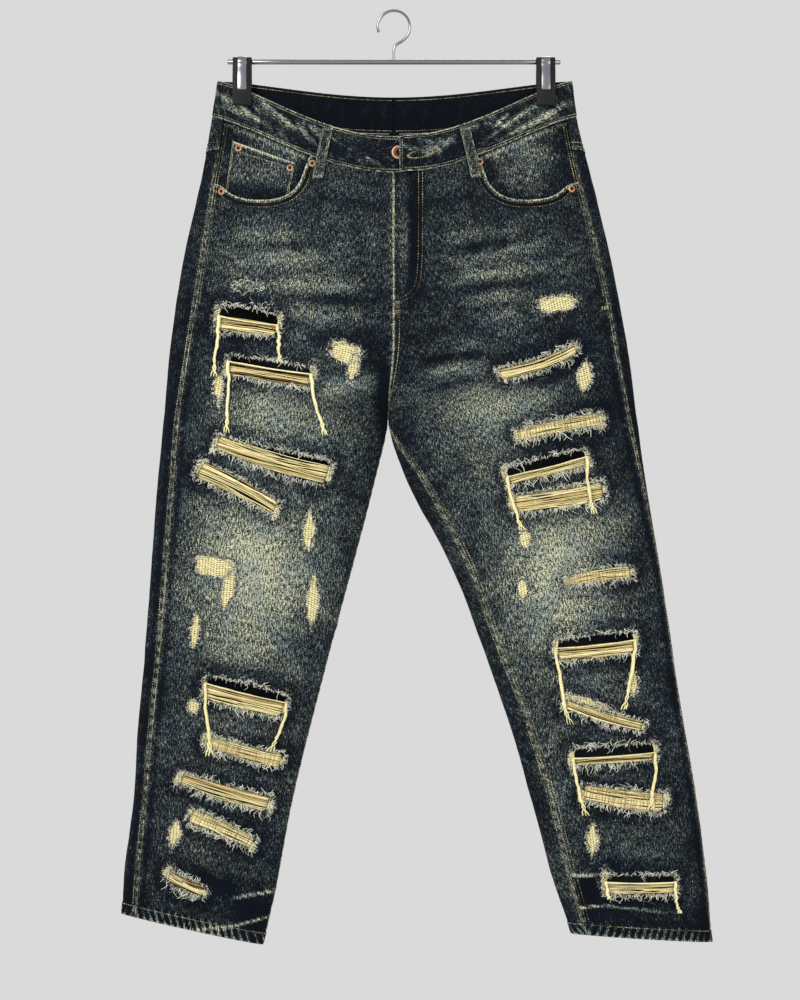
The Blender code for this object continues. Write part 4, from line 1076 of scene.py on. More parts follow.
def panel(side, face):
    """One front or back from its top seam to its hem, with relief and holes.

    The relief is the hem's step, ridges, crumple, puckers that fade away from the
    seams, a rope-like twist in the hem and the curl beside the rips, added up.
    """
    hem = hem_drop(side)
    share, down = shares(GRIDS[face])
    top = panel_top(face, share)
    drop = top + (hem - top) * down
    keep = np.ones(GRIDS[face], bool)
    if face == "front":
        width = leg_width(side, drop) * 1.05
        share, drop, keep = snap(side, face, share, drop, width)
    turn = panel_turn(side, face, share, drop)
    x, below, rip, mouth, patch = damage(side, face, share, drop)
    base = around(side, face, turn, drop, 0.0)
    flat = flat_lengths(base)
    u = flat[..., 0]
    past = np.minimum(u, u[:, -1:] - u)
    band = smooth(drop, hem - HEM_HEIGHT - HEM_TURN, hem - HEM_HEIGHT + HEM_TURN)
    height, light = ridges(face, base[..., 0], below)
    crumple = 0.75 * noise2(u * 0.8, drop, 46.0, 3)
    crumple = crumple + 0.42 * noise2(u + 0.3 * drop, drop - 0.2 * u, 21.0, 5)
    crumple = crumple + 0.16 * noise2(u, drop, 8.0, 9)
    crumple = crumple * (0.75 + 0.6 * smooth(drop, hem - 110, hem - 30))
    turns = drop / PUCKER_PITCH
    pucker = np.sin(TURN * turns + 2.5 * noise2(drop, 0, 40.0, 11)) * decay(past, PUCKER_REACH)
    turns = (u + 0.4 * (hem - drop)) / ROPE_PITCH
    rope = np.sin(TURN * turns + 3 * noise2(u, 0, 40.0, 12)) * band
    curl = bell(np.minimum(rip, 30), CURL_REACH) * (0.7 + 0.5 * noise2(u, drop, 7.0, 14))
    out = band * HEM_PROUD + height + crumple * (1 - decay(past, 4.0)) + PUCKER * pucker + ROPE * rope
    out = out + CURL * curl - SAG * decay(np.maximum(rip, 0), SAG_REACH)
    out = out - 0.35 * bell(drop - hem + HEM_HEIGHT, 2.0)
    out = out * (1 - 0.8 * bell(np.maximum(mouth, 0), 5.0))
    if side == "left":
        raised = fly_lap(drop)[1] if face == "front" else 0
        raised = np.maximum(raised, MIDDLE_RAISE * (1 - smooth(drop, *MIDDLE_END)))
        out = out + raised * (1 - smooth(base[..., 0], 4, 24))
    points, facing = lay((side, face), around, side, face, turn, drop, out)
    KEPT[(side, face)] = keep
    worn = 0.55 * (0.6 + 0.4 * pucker) * decay(past, 2.4) + 0.34 * rope
    worn = worn - 0.12 * bell(u - 8, 3.5) * smooth(drop, 200, 300)
    worn = worn + 0.5 * decay(np.abs(hem - drop), 1.6) + 1.10 * bell(np.abs(mouth), 1.9, 4)
    worn = worn - 0.20 * bell(mouth - 6, 3.5)
    if (side, face) == ("left", "front"):
        to_lap = u[:, -1:] - u
        lap_edge = 0.5 * bell(to_lap, 1.5, 4) - 0.14 * bell(to_lap - 4, 1.6)
        worn = worn + (drop < CROTCH) * lap_edge
    # Painted shadow: darker round the rips and, less, round the patches below their fringes. The raised
    # crumple is painted a little lighter, as shading of the wrinkles. Both go into worn, and so into the
    # fade, beside the real wear.
    shadow = bell(np.maximum(rip, 0), 10.0) + 0.4 * bell(rip - 14, 6.0)
    shadow = shadow + 0.6 * bell(np.maximum(patch, 0), 5.0)
    worn = worn - 0.20 * shadow + 0.07 * crumple
    fade = np.clip(wash_and_shade(side, face, x, below) + light + worn, *FADE_RANGE)
    numbers = {"fade": fade, "patch": np.clip(patch, -0.5 * UNHARMED, UNHARMED)}
    slots = (DENIM, DENIM_IN_SHADED)
    obj = cloth_piece(f"{face}_{side}_cloth", points, facing, flat, numbers, keep, THIN, slots)
    return register(obj, "denim", f"{face}_{side}")


panels = {(side, face): panel(side, face) for side in LEGS for face in ("front", "back")}
print({obj.name: len(obj.data.polygons) for obj in panels.values()})

# %% [markdown]
# ## Waistband, yokes, facings and pockets
#
# The other pieces lie on the same surface, a little further out or in. Each
# one is a grid again, so its relief can be worked out in one formula, and each
# is kept, so that stitches can later be laid exactly on it.

# %% Band, yokes and pocket pieces
BAND_END = {"right": 15.0, "left": 6.0}
BAND_OVER_BUTTON = 6.4
BAND_THICK = 2.4
BAND_GRID = (20, 300)
YOKE_GRID = (32, 90)
FACING_GRID = (62, 80)
COIN_GRID = (36, 56)
POCKET_GRID = (72, 70)
LOOP_GRID = (40, 14)
MM_A_TURN = 208.0
POCKET_CLOTH = 1.4
FACING_END = 168.0
FACING_INNER = 88.0
COIN_POCKET = ((-187, 70), (-114, 97), (-124, 146), (-196, 141))
BACK_POCKET = {"x": 104.0, "top": 138.0, "deep": 150.0, "point": 16.0, "half": 72.0}
# Slanting ridges of the waistband: x0, drop0, x1, drop1, half width, height
BAND_RIDGES = (
    (-206, 15, -143, 30, 3.0, 1.1), (-154, 5, -92, 25, 3.2, 1.2), (-210, 29, -150, 27, 3.0, 0.9),
    (-120, 8, -84, 30, 2.8, 1.0), (-77, 12, -40, 24, 2.8, 1.0), (-60, 26, -28, 34, 2.4, 0.8),
    (97, 30, 166, 12, 3.0, 1.2), (99, 37, 200, 28, 3.0, 1.1), (51, 26, 74, 7, 2.6, 1.0),
    (110, 20, 140, 6, 2.6, 0.9), (150, 36, 207, 22, 2.8, 0.9), (30, 30, 56, 14, 2.4, 0.8),
)


def dress(name, laid, uvs, fade, keep=None, thin=THIN, inside=None):
    """A sheet with no damage, which stands for the solid of its name."""
    numbers = {"patch": UNHARMED + 0 * fade, "fade": fade}
    slots = (DENIM, inside or DENIM_IN_SHADED)
    obj = cloth_piece(f"{name}_cloth", *laid, uvs, numbers, keep, thin, slots)
    return register(obj, "denim", name)


def waistband(side):
    """Half of the band, from the middle back round the side to the middle front.

    Its relief is slanting ridges and noise, pressed flat under the clip and drawn
    in at both edges. The left end is raised, because it lies over the button.
    """
    sign = -1 if side == "left" else 1
    back_end = -0.5 * math.pi - (0.4 / MM_A_TURN if side == "left" else 0.0)
    front_end = 0.5 * math.pi + sign * BAND_END[side] / MM_A_TURN
    turn, down = shares(BAND_GRID, back_end, front_end)
    to_end = (front_end - turn) * MM_A_TURN
    corner = np.sqrt(1 - (1 - np.clip(to_end / 5.0, 0, 1)) ** 2) * 0.16 + 0.84
    drop = 0.5 * BAND_HEIGHT * (1 + (2 * down - 1) * corner)
    x = skin(side, "front", np.abs(turn), drop)[..., 0]
    edge = np.minimum(drop, BAND_HEIGHT - drop)
    arc = turn * MM_A_TURN
    ridge = np.where(turn > 0, bell_lines(BAND_RIDGES, x, drop, 0.15, 0.3), 0)
    lean = np.where(x > 0, -1.0, 1.0)
    seed = 21 if side == "left" else 22
    slant = noise2(arc * 0.45 - lean * drop, arc * 0.10 + lean * drop * 0.4, 7.0, seed)
    slant = np.where(turn > 0, slant, noise2(arc, drop * 0.3, 5.0, 25))
    small = noise2(arc, drop, 4.0, 23)
    pucker = np.sin(TURN * arc / 11.0 + 2 * noise2(arc, 0, 30.0, 24)) * decay(edge, 5.0)
    grip = smooth(np.abs(x), 153, 163) * (1 - smooth(np.abs(x), 189, 199)) * (1 - smooth(drop, 28, 38))
    relief = 0.85 * ridge + 0.50 * slant + 0.16 * small + 0.30 * pucker
    out = BAND_PROUD + relief * (1 - grip) - 0.4 * grip
    out = out - 1.0 * bell(edge, 1.3) - 0.35 * bell(edge - 3.2, 1.0)
    if side == "left":
        rise = 1 - smooth(x, BAND_END["left"] + 12, BAND_END["left"] + 36)
        out = out + (turn > 0) * BAND_OVER_BUTTON * rise
    laid = lay((side, "band"), around, side, "front", turn, drop, out)
    fine = noise2(arc * 0.8 - lean * drop * 0.9, drop * 0.7, 3.8, 27)
    fade = 0.03 + 0.36 * np.clip(ridge, 0, 1.2) + 0.28 * np.clip(slant, -0.5, 1)
    fade = fade + 0.16 * fine + 0.10 * pucker
    fade = fade + np.where(turn > 0, 0.95, 0.15) * bell(drop, 1.7, 4)
    fade = fade + 1.0 * bell(BAND_HEIGHT - drop, 1.7, 4)
    # The dark line 3.4 mm in from each edge is painted shade in the groove there.
    fade = fade - 0.30 * bell(edge - 3.4, 1.2) + 0.55 * decay(np.clip(to_end, 0, 9), 1.2)
    uvs = np.stack([drop, arc], axis=-1)
    fade = np.clip(fade, 0.02, 1.0)
    return dress(f"waistband_{side}", laid, uvs, fade, None, BAND_THICK, BAND_IN_SHADED)


def yoke(side):
    """The V-shaped piece between the waistband and the back, with a raised lower edge."""
    share, down = shares(YOKE_GRID)
    bottom = BAND_HEIGHT + YOKE_SIDE + (YOKE_MIDDLE - YOKE_SIDE) * share
    drop = BAND_FOOT + (bottom + 1.2 - BAND_FOOT) * down
    turn = panel_turn(side, "back", share, drop)
    base = around(side, "back", turn, drop, 0.0)
    flat = flat_lengths(base)
    low = bottom - drop
    pucker = np.sin(TURN * flat[..., 0] / 12.0) * decay(np.abs(low), 5.0)
    crumple = rumple(flat[..., 0], drop, (0.5, 26.0, 31), (0.2, 9.0, 32))
    out = 0.25 + crumple + 0.25 * pucker + 0.7 * down**4
    laid = lay((side, "yoke"), around, side, "back", turn, drop, out)
    fade = 0.14 + 0.10 * crumple + 0.3 * decay(np.abs(low), 1.5) + 0.12 * pucker
    fade = fade + 0.12 * bell(share - 0.5, 0.3)
    return dress(f"yoke_{side}", laid, flat, fade, inside=BAND_IN_SHADED)


def facing_piece(side):
    """The denim behind the pocket mouth, up to the outseam, with a painted shadow below the mouth's edge.
    """
    share, down = shares(FACING_GRID, 0.0, 0.60)
    drop = BAND_FOOT + (FACING_END + 2 - BAND_FOOT) * down
    turn = panel_turn(side, "front", share, drop)
    base = around(side, "front", turn, drop, 0.0)
    x, below = base[..., 0], -base[..., 2] - WAIST_BELOW_HOOK
    flat = flat_lengths(base)
    mouth = pocket_distance(side, x, below)
    crumple = rumple(x, below, (0.5, 22.0, 41), (0.25, 8.0, 42))
    ledge = bell(drop - BAND_HEIGHT - 5, 3.0)
    out = -3.0 + 0.4 * crumple + 2.0 * ledge
    laid = lay((side, "facing"), around, side, "front", turn, drop, out)
    inner = smooth(np.abs(x), 92, 130) * (1 - smooth(np.abs(x), 165, 200))
    fade = 0.06 + 0.19 * inner + 0.24 * ledge + 0.22 * crumple
    # Painted shadow along the pocket mouth's edge, lower down where the front laps over the facing.
    fade = fade - 0.34 * decay(np.abs(mouth), 10.0) * smooth(below, 70, 120)
    keep = np.abs(0.25 * (x[:-1, :-1] + x[1:, :-1] + x[:-1, 1:] + x[1:, 1:])) > FACING_INNER
    KEPT[(side, "facing")] = keep
    return dress(f"pocket_facing_{side}", laid, flat, np.clip(fade, 0.02, 1), keep, 1.0)


def coin_pocket():
    """The small pocket on the right facing, with a folded top edge."""
    u, v = shares(COIN_GRID)
    x, below = (
        (1 - v) * ((1 - u) * a + u * b) + v * ((1 - u) * d + u * c) for a, b, c, d in zip(*COIN_POCKET)
    )
    edge = np.minimum(np.minimum(u, 1 - u) * 78, v * 44)
    crumple = rumple(x, below, (0.35, 14.0, 51), (0.15, 6.0, 52))
    under = smooth(-pocket_distance("right", x, below), 0, 14)
    out = -1.75 + 0.9 * under + crumple * (0.3 + 0.7 * under) - 0.4 * bell(edge, 1.2)
    laid = lay(("right", "coin"), on_cloth, "right", "front", x, below, out)
    fade = 0.27 + 0.12 * crumple + 0.85 * decay(v * 60, 1.4) + 0.40 * decay(edge, 1.2)
    fade = fade - 0.16 * bell(edge - 4, 1.5) - 0.30 * smooth(v, 0.5, 0.85)
    return dress("coin_pocket", laid, flat_lengths(laid[0]), fade, thin=0.8)


def back_pocket(side):
    """A patch pocket: straight top, sides that draw in, a shallow point below."""
    sign = -1 if side == "right" else 1
    u, v = shares(POCKET_GRID, -1.0)
    x = sign * BACK_POCKET["x"] + u * BACK_POCKET["half"] * (1 - 0.08 * v)
    drop = BACK_POCKET["top"] + v * (BACK_POCKET["deep"] - BACK_POCKET["point"] * np.abs(u))
    edge = np.minimum(np.minimum((1 - np.abs(u)) * 70, (1 - v) * 145), v * 145)
    crumple = rumple(x, drop, (0.6, 28.0, 61), (0.25, 10.0, 62))
    pucker = np.sin(TURN * (x + drop) / 12.0) * decay(edge, 4.0)
    out = SEAM_GAP + POCKET_CLOTH + 0.5 + crumple * (1 - decay(edge, 6.0)) + 0.25 * pucker
    out = out - 1.0 * bell(edge, 1.4) + 1.2 * np.exp(-(v * 10) ** 2) * (1 - u**2)
    laid = lay((side, "pocket"), on_pattern, side, "back", x, drop, out)
    fade = 0.27 + 0.12 * crumple + 0.40 * decay(edge, 1.2) + 0.14 * pucker
    fade = fade + 0.16 * np.exp(-((u / 0.6) ** 2 + ((v - 0.45) / 0.4) ** 2))
    return dress(f"back_pocket_{side}", laid, flat_lengths(laid[0]), np.clip(fade, 0.02, 1))


LOOP_WIDTH = 12.0
LOOP_CLOTH = 1.6
LOOP_STAND = 2.2
FRONT_LOOPS = {
    "belt_loop_front_right": ((-76, 56), (-88, 116)),
    "belt_loop_front_left": ((81, 55), (95, 115)),
}
BACK_LOOPS = {"belt_loop_side_right": -128, "belt_loop_side_left": 130, "belt_loop_back": 0}
LOOPS = {}


def middle_back(side, face, x, drop, out):
    """A point over the middle back seam, where both halves meet level."""
    point = on_pattern(side, face, 0 * x + 0.01, drop, out)
    point[..., 0] = x
    return point


def belt_loop(name, side, face, top, bottom, place):
    """A strip tacked at both ends that stands off the waistband between them."""
    u, v = shares(LOOP_GRID, -0.5, 0.5)
    x = top[0] + (bottom[0] - top[0]) * v + u * LOOP_WIDTH
    drop = top[1] + (bottom[1] - top[1]) * v
    edge = (0.5 - np.abs(u)) * LOOP_WIDTH
    stand = BAND_PROUD + SEAM_GAP + LOOP_STAND * np.sin(math.pi * v) + LOOP_CLOTH
    bar = bell(v - 0.04, 0.03) + bell(v - 0.96, 0.03)
    out = stand + 0.35 * noise2(x, drop, 6.0, 71) + 0.35 * np.cos(math.pi * u * 2) - 0.7 * bar
    out = out - 0.8 * bell(edge, 1.0)
    laid = lay(name, place, side, face, x, drop, out)
    LOOPS[name] = (side, face)
    fade = 0.22 + 0.45 * decay(edge, 0.9) + 0.10 * noise2(x, drop, 5.0, 72) + 0.25 * bar
    return dress(name, laid, flat_lengths(laid[0]), np.clip(fade, 0.02, 1), thin=LOOP_CLOTH)


bands = {side: waistband(side) for side in LEGS}
yokes = {side: yoke(side) for side in LEGS}
facings = {side: facing_piece(side) for side in LEGS}
back_pockets = {side: back_pocket(side) for side in LEGS}
coin = coin_pocket()
loops = {}
for name, (top, bottom) in FRONT_LOOPS.items():
    loops[name] = belt_loop(name, "right" if top[0] < 0 else "left", "front", top, bottom, on_cloth)
for name, x in BACK_LOOPS.items():
    place = on_pattern if x else middle_back
    loops[name] = belt_loop(name, "right" if x < 0 else "left", "back", (x, 1.5), (x, 62.0), place)
print(len(LAID), "surfaces kept for the stitches")

# %% [markdown]
# ## Yarns
#
# Every thread is a thin tube round a path. The same helper makes the cross
# yarns of a rip, the long pulled yarns and the curly fringe: rings of three to
# five points, turned by the path's own direction, all worked out at once.


# %% Tubes from paths
def between_rings(index):
    """Triangles between one closed ring of points and the next."""
    a, b = index[..., :-1, :], index[..., 1:, :]
    c, d = np.roll(a, -1, axis=-1), np.roll(b, -1, axis=-1)
    return [np.stack([a, b, d], -1).reshape(-1, 3), np.stack([a, d, c], -1).reshape(-1, 3)]


def tubes(paths, radius, sides):
    """Points and triangles of closed tubes round many paths of equal length."""
    count, steps = paths.shape[:2]
    along = unit(np.gradient(paths, axis=1))
    beside = unit(np.cross(along, np.array([0.02, -1.0, 0.05])))
    above = np.cross(beside, along)
    turn = np.arange(sides) * TURN / sides
    ring = beside[:, :, None] * np.cos(turn)[:, None] + above[:, :, None] * np.sin(turn)[:, None]
    radius = np.broadcast_to(np.asarray(radius, float), (count, steps))
    points = (paths[:, :, None] + ring * radius[:, :, None, None]).reshape(-1, 3)
    index = np.arange(count * steps * sides).reshape(count, steps, sides)
    faces = between_rings(index)
    for corner in range(1, sides - 1):
        first, last = index[:, 0], index[:, -1]
        faces.append(np.stack([first[:, 0], first[:, corner], first[:, corner + 1]], -1))
        faces.append(np.stack([last[:, 0], last[:, corner + 1], last[:, corner]], -1))
    return points, np.concatenate(faces)


def yarn_object(name, paths, radius, sides, shade, material):
    """One object of many tubes, with a shade from 0 to 1 kept on each yarn."""
    points, faces = tubes(paths, radius, sides)
    shades = np.repeat(np.broadcast_to(shade, paths.shape[:1]), paths.shape[1] * sides)
    length = np.repeat(np.tile(np.linspace(0, 1, paths.shape[1]), paths.shape[0]), sides)
    return to_mesh(name, points, faces, [material], None, {"shade": shades, "length": length})


def yarn_material():
    """Undyed cotton: cream to tan from yarn to yarn, with a fine twist."""
    paint = Paint("yarn_cream")
    shade = paint.given("shade")
    fine = paint.noise(paint.place(), 900.0, 2.0, 0.6)
    colour = paint.ramp(shade + (fine - 0.5) * 0.5, (
        (0.0, (0.130, 0.080, 0.030)),
        (0.3, (0.400, 0.270, 0.100)),
        (0.6, (0.700, 0.590, 0.270)),
        (1.0, (0.890, 0.820, 0.480)),
    ))
    paint.bump(fine, 0.4, 0.0004)
    return paint.finish(Base_Color=colour, Roughness=0.9, Specular_IOR_Level=0.15)


def fringe_material():
    """Frayed warp ends: blue-grey at some, nearly white at most, and darker at the root as painted shade
    near the cloth.
    """
    paint = Paint("fringe")
    shade = paint.given("shade")
    tip = paint.given("length")
    colour = paint.ramp(shade * 0.8 + tip * 0.2, (
        (0.0, (0.020, 0.030, 0.040)),
        (0.28, (0.130, 0.155, 0.150)),
        (0.5, (0.460, 0.470, 0.390)),
        (1.0, (0.860, 0.840, 0.680)),
    ))
    return paint.finish(Base_Color=colour, Roughness=0.92, Specular_IOR_Level=0.1)


YARN = yarn_material()
FRINGE = fringe_material()


def rip_places(rip, along, across):
    """Turn lengths along and across a rip into x and drop as seen in front."""
    return placed(along, across, rip.x, rip.drop, rip.slope)


WOVEN = ("rip_r6", "rip_r8", "rip_l2", "rip_l5", "rip_l9")
WARP_PITCH = 3.7
WEFT_PITCH = {True: 0.85, False: 0.95}
BUNDLING = {True: 0.3, False: 1.6}
YARN_RADIUS = (0.40, 0.64)
WARP_RADIUS = (0.26, 0.42)
FRINGE_RADIUS = (0.38, 0.68)
PLY_RADIUS = 1.12


def cross_yarns(rip, number):
    """The fine cross yarns of one rip: they sag a little and run in bundles.

    Where the cloth is only thinned and not open, a few upright yarns still cross them.
    """
    rng = np.random.default_rng(100 + number)
    length, height = rip.length, rip.height
    spread = rip.filled * height
    woven = rip.name in WOVEN
    count = int(spread / WEFT_PITCH[woven])
    level = 0.5 * height - spread + (np.arange(count) + 0.5) * spread / count
    level = level + rng.normal(0, 0.35, count)
    bundle = BUNDLING[woven] * noise2(level, 0, 3.4, number)
    t = np.linspace(-1, 1, 15)[None, :]
    along = t * (0.5 * length + 3.0)
    middle = 1 - t**2
    wave = 0.9 * noise2(t * 2.0 + level[:, None], level[:, None] * 0.35, 1.0, number + 3)
    drift = rng.normal(0, 0.7, (count, 1)) * np.sin(math.pi * t * rng.uniform(0.6, 1.6, (count, 1)))
    across = level[:, None] + (bundle[:, None] + wave) * middle + drift * middle
    across = np.clip(across, 0.5 * height - spread - 1.0, 0.5 * height - 0.2) + rip_edge(rip, along)[1]
    x, below = rip_places(rip, along, across)
    depth = -1.15 + rng.uniform(-0.9, 0.5, (count, 1)) * middle - 0.75 * (1 - middle) ** 6
    paths = on_cloth(rip.leg, "front", x, below, depth)
    radius = rng.uniform(*YARN_RADIUS, (count, 1)) + 0 * t
    shade = 0.62 + 0.28 * rng.normal(0, 1, count) + 0.25 * noise2(level, 1, 3.0, number)
    shade = np.clip(shade, 0.0, 1.0)
    if woven:
        posts = np.arange(-0.5 * length + 3, 0.5 * length - 2, WARP_PITCH)
        posts = posts + rng.normal(0, 0.5, len(posts))
        half, bowed = rip_edge(rip, posts)
        up = t * (half[:, None] + 0.8)
        lean = rng.normal(0, 0.5, (len(posts), 1)) * t + posts[:, None]
        x, below = rip_places(rip, lean, up + bowed[:, None])
        post_paths = on_cloth(rip.leg, "front", x, below, -0.55 + 0.5 * np.sin(up * 2.6 + posts[:, None]))
        paths = np.concatenate([paths, post_paths])
        radius = np.concatenate([radius, rng.uniform(*WARP_RADIUS, (len(posts), 1)) + 0 * t])
        shade = np.concatenate([shade * 0.6 + 0.4, rng.uniform(0.1, 0.5, len(posts))])
    obj = yarn_object(f"{rip.name}_cross_yarns", paths, radius, 4, shade, YARN)
    return register(obj, "yarn", f"{rip.name}_yarns")


def fringe_paths(side, x, below, out_x, out_drop, long, rng, steps=6):
    """Curly fibres from roots on the cloth towards a side, rising a little off it."""
    count = len(x)
    t = np.linspace(0, 1, steps)[None, :]
    side_x, side_drop = -out_drop[:, None], out_x[:, None]
    lean = rng.normal(0, 0.45, (count, 1)) * long[:, None]
    curl = rng.normal(0, 0.22, (count, 1)) * long[:, None]
    phase = rng.uniform(0, 6.28, (count, 1))
    swing = lean * t + curl * (np.sin(phase + 5.0 * t) - np.sin(phase))
    reach = long[:, None] * (t - 0.25 * rng.uniform(0, 1, (count, 1)) * t**2) - 1.0
    droop = 0.18 * long[:, None] * t**2
    px = x[:, None] + out_x[:, None] * reach + side_x * swing
    pd = below[:, None] + out_drop[:, None] * reach + side_drop * swing + droop
    height = 0.9 + rng.uniform(0.3, 1.6, (count, 1)) * np.sin(math.pi * 0.8 * t) - 1.6 * (t < 0.01)
    return on_cloth(side, "front", px, pd, height)


# Layers of the fringe along a rip: a fibre each so many mm, shortest and longest fibre
FRINGE_LAYERS = ((1.4, 4.5, 11.5), (1.8, 2.5, 6.0))
ROOTS_BACK = {-1: 0.10, 1: 0.04}


def fringes(side):
    """The fringe of every rip and patch on one leg, as one object."""
    rng = np.random.default_rng(7 if side == "left" else 8)
    roots = []
    for rip in RIPS:
        if rip.leg != side:
            continue
        for edge in (-1, 1):
            for pitch, low, high in FRINGE_LAYERS:
                count = int(rip.length / pitch)
                along = rng.uniform(-0.5, 0.5, count) * (rip.length + 3)
                half, bowed = rip_edge(rip, along)
                across = edge * (half + 0.3) + bowed + rng.normal(0, 0.7, count)
                x, below = rip_places(rip, along, across)
                out_x, out_drop = placed(0, edge, 0, 0, rip.slope)
                back = rng.uniform(0, 1, count) < ROOTS_BACK[edge]
                way = np.where(back, -1.0, 1.0)
                tufts = 0.75 + 0.35 * noise2(along, edge, 9.0, int(rip.drop))
                long = rng.uniform(low, high, count) * tufts
                roots.append((x, below, way * out_x, way * out_drop, long))
        count = int(rip.height / 1.1)
        for end in (-1, 1):
            across = rng.uniform(-0.5, 0.5, count) * rip.height
            x, below = rip_places(rip, end * (0.5 * rip.length + 3), across)
            out_x, out_drop = placed(end + 0 * across, 0, 0, 0, rip.slope)
            roots.append((x, below, out_x, out_drop, rng.uniform(2.0, 6.0, count)))
    for leg, x0, drop0, length, height in SCUFFS:
        if leg == side:
            count = int(length * height / 11)
            turn, far = rng.uniform(0, TURN, count), np.sqrt(rng.uniform(0, 1, count))
            x = x0 + 0.5 * length * far * np.cos(turn)
            way = rng.uniform(0, TURN, count)
            below = drop0 + 0.5 * height * far * np.sin(turn)
            roots.append((x, below, np.cos(way), np.sin(way), rng.uniform(2.5, 6.0, count)))
    for leg, x0, drop0, length, height, slope in PATCHES:
        if leg != side:
            continue
        count = int((length + height) * 1.1)
        turn = rng.uniform(0, TURN, count)
        x, below = placed(0.5 * length * np.cos(turn), 0.5 * height * np.sin(turn), x0, drop0, slope)
        out = unit(np.stack([np.cos(turn) / length, np.sin(turn) / height], axis=-1))
        out_x, out_drop = placed(out[:, 0], out[:, 1], 0.0, 0.0, slope)
        roots.append((x, below, out_x, out_drop, rng.uniform(1.5, 4.5, count)))
    x, below, out_x, out_drop, long = (np.concatenate(part) for part in zip(*roots))
    paths = fringe_paths(side, x, below, out_x, out_drop, long, rng)
    count = len(paths)
    t = np.linspace(0, 1, paths.shape[1])[None, :]
    radius = rng.uniform(*FRINGE_RADIUS, (count, 1)) * (1 - 0.45 * t)
    shade = np.clip(rng.normal(0.60, 0.34, count), 0.0, 1.0)
    print(side, "fringe fibres", count)
    return register(yarn_object(f"fringe_{side}", paths, radius, 3, shade, FRINGE), "yarn")


# Pulled yarns: rip, how far each end hangs, how far each end drifts
HANGING = (
    ("r1", 70, 44, -6, 2), ("r2", 82, 70, -3, 16), ("r5", 84, 56, 5, -18), ("l3", 62, 66, 18, 8),
    ("l6", 88, 80, 16, -12), ("l8", 66, 66, 16, -3), ("l10", 20, 36, 2, 3),
)


def hanging_yarn(row, number):
    """A pulled yarn of three plies that crosses its rip and hangs from both ends."""
    rng = np.random.default_rng(300 + number)
    name, hang_a, hang_b, drift_a, drift_b = row
    rip = next(item for item in RIPS if item.name == f"rip_{name}")
    end = 0.5 * rip.length + 1.0
    level = (0.5 - rip.filled) * rip.height - 1.5
    ax, ad = rip_places(rip, -end, level)
    bx, bd = rip_places(rip, end, level)
    down = np.linspace(1, 0, 34)
    across = np.linspace(0, 1, 30)[1:-1]
    sag = 1.2 * np.sin(math.pi * across)
    up = down[::-1]
    x = np.concatenate([ax + drift_a * down**1.5, ax + (bx - ax) * across, bx + drift_b * up**1.5])
    drop = np.concatenate([ad + hang_a * down, ad + (bd - ad) * across + sag, bd + hang_b * up])
    t = np.linspace(0, 1, len(x))
    x = x + 1.5 * noise2(t * 9.0, number, 1.0, 81) + 0.9 * noise2(t * 30.0, number, 1.0, 83)
    plies, radii = [], []
    loose = np.concatenate([down**8, 0 * across, up**8])
    thick = (PLY_RADIUS + 0.40 * noise2(t * 22.0, number, 1.0, 82)) * (1 - 0.5 * loose)
    thick = thick * np.concatenate([1 + 0 * down, 0.6 + 0 * across, 1 + 0 * up])
    for ply in range(3):
        turn = TURN * (ply / 3 + t * 26)
        away = (ply - 1) * rng.uniform(2.0, 5.0) * loose
        ring = 1.10 * (1 - 0.7 * loose)
        beside, above = ring * np.cos(turn) + away, ring * np.sin(turn)
        plies.append(on_cloth(rip.leg, "front", x + beside, drop, 2.1 + above))
        radii.append(thick)
    shade = rng.uniform(0.7, 0.95, 3)
    name = f"hanging_yarn_{name}"
    obj = yarn_object(f"{name}_plies", np.array(plies), np.array(radii), 5, shade, YARN)
    return register(obj, "yarn", name)


cross = [cross_yarns(rip, number) for number, rip in enumerate(RIPS)]
print("cross yarns:", sum(len(obj.data.polygons) for obj in cross), "triangles")
fringe = [fringes(side) for side in LEGS]
hanging = [hanging_yarn(row, number) for number, row in enumerate(HANGING)]
print(len(hanging), "pulled yarns")

# %% [markdown]
# ## Stitching
#
# A seam is read by its thread. Each line of stitches is a path on a kept
# surface, cut into short stitches of the same length with small gaps, and each
# stitch is a tiny tube that dips at both ends.

# %% Stitches
STITCH = 3.1
STITCH_LONG = 2.3
CLOSE = (2.7, 2.3)
FIRST_ROW = 2.6
HEM_ROW = 2.4
RUNS = {}


def on_sheet(key, row, column):
    """Points and normals at fractional rows and columns of a kept surface."""
    points, facing = LAID[key]
    row, column = same_shape(row, column)
    row = np.clip(row, 0, points.shape[0] - 1.001)
    column = np.clip(column, 0, points.shape[1] - 1.001)
    r, c = row.astype(int), column.astype(int)
    s, t = (row - r)[..., None], (column - c)[..., None]
    both = []
    for grid in (points, facing):
        high = grid[r, c] * (1 - t) + grid[r, c + 1] * t
        both.append(high * (1 - s) + (grid[r + 1, c] * (1 - t) + grid[r + 1, c + 1] * t) * s)
    return both


def keep_run(group, middle, way, normal, long):
    """Keep a run of stitches: middles, directions, normals and lengths."""
    RUNS.setdefault(group, []).append((middle, unit(way), unit(normal), long))


def sew(group, points, facing, pitch=STITCH, long=STITCH_LONG):
    """Cut a path into stitches and keep their middles, directions and normals."""
    steps = np.linalg.norm(np.diff(points, axis=0), axis=1)
    length = np.concatenate([[0.0], np.cumsum(steps)])
    at = np.arange(0.5 * pitch, length[-1], pitch)
    behind, middle, ahead, normal = (
        np.stack([np.interp(where, length, path[:, axis]) for axis in range(3)], axis=-1)
        for where, path in ((at - 0.4, points), (at, points), (at + 0.4, points), (at, facing))
    )
    keep_run(group, middle, ahead - behind, normal, long + 0 * at)


def inside_out(points, facing, deep):
    """The same places on the inner face of the cloth."""
    return points - unit(facing) * deep, -unit(facing)


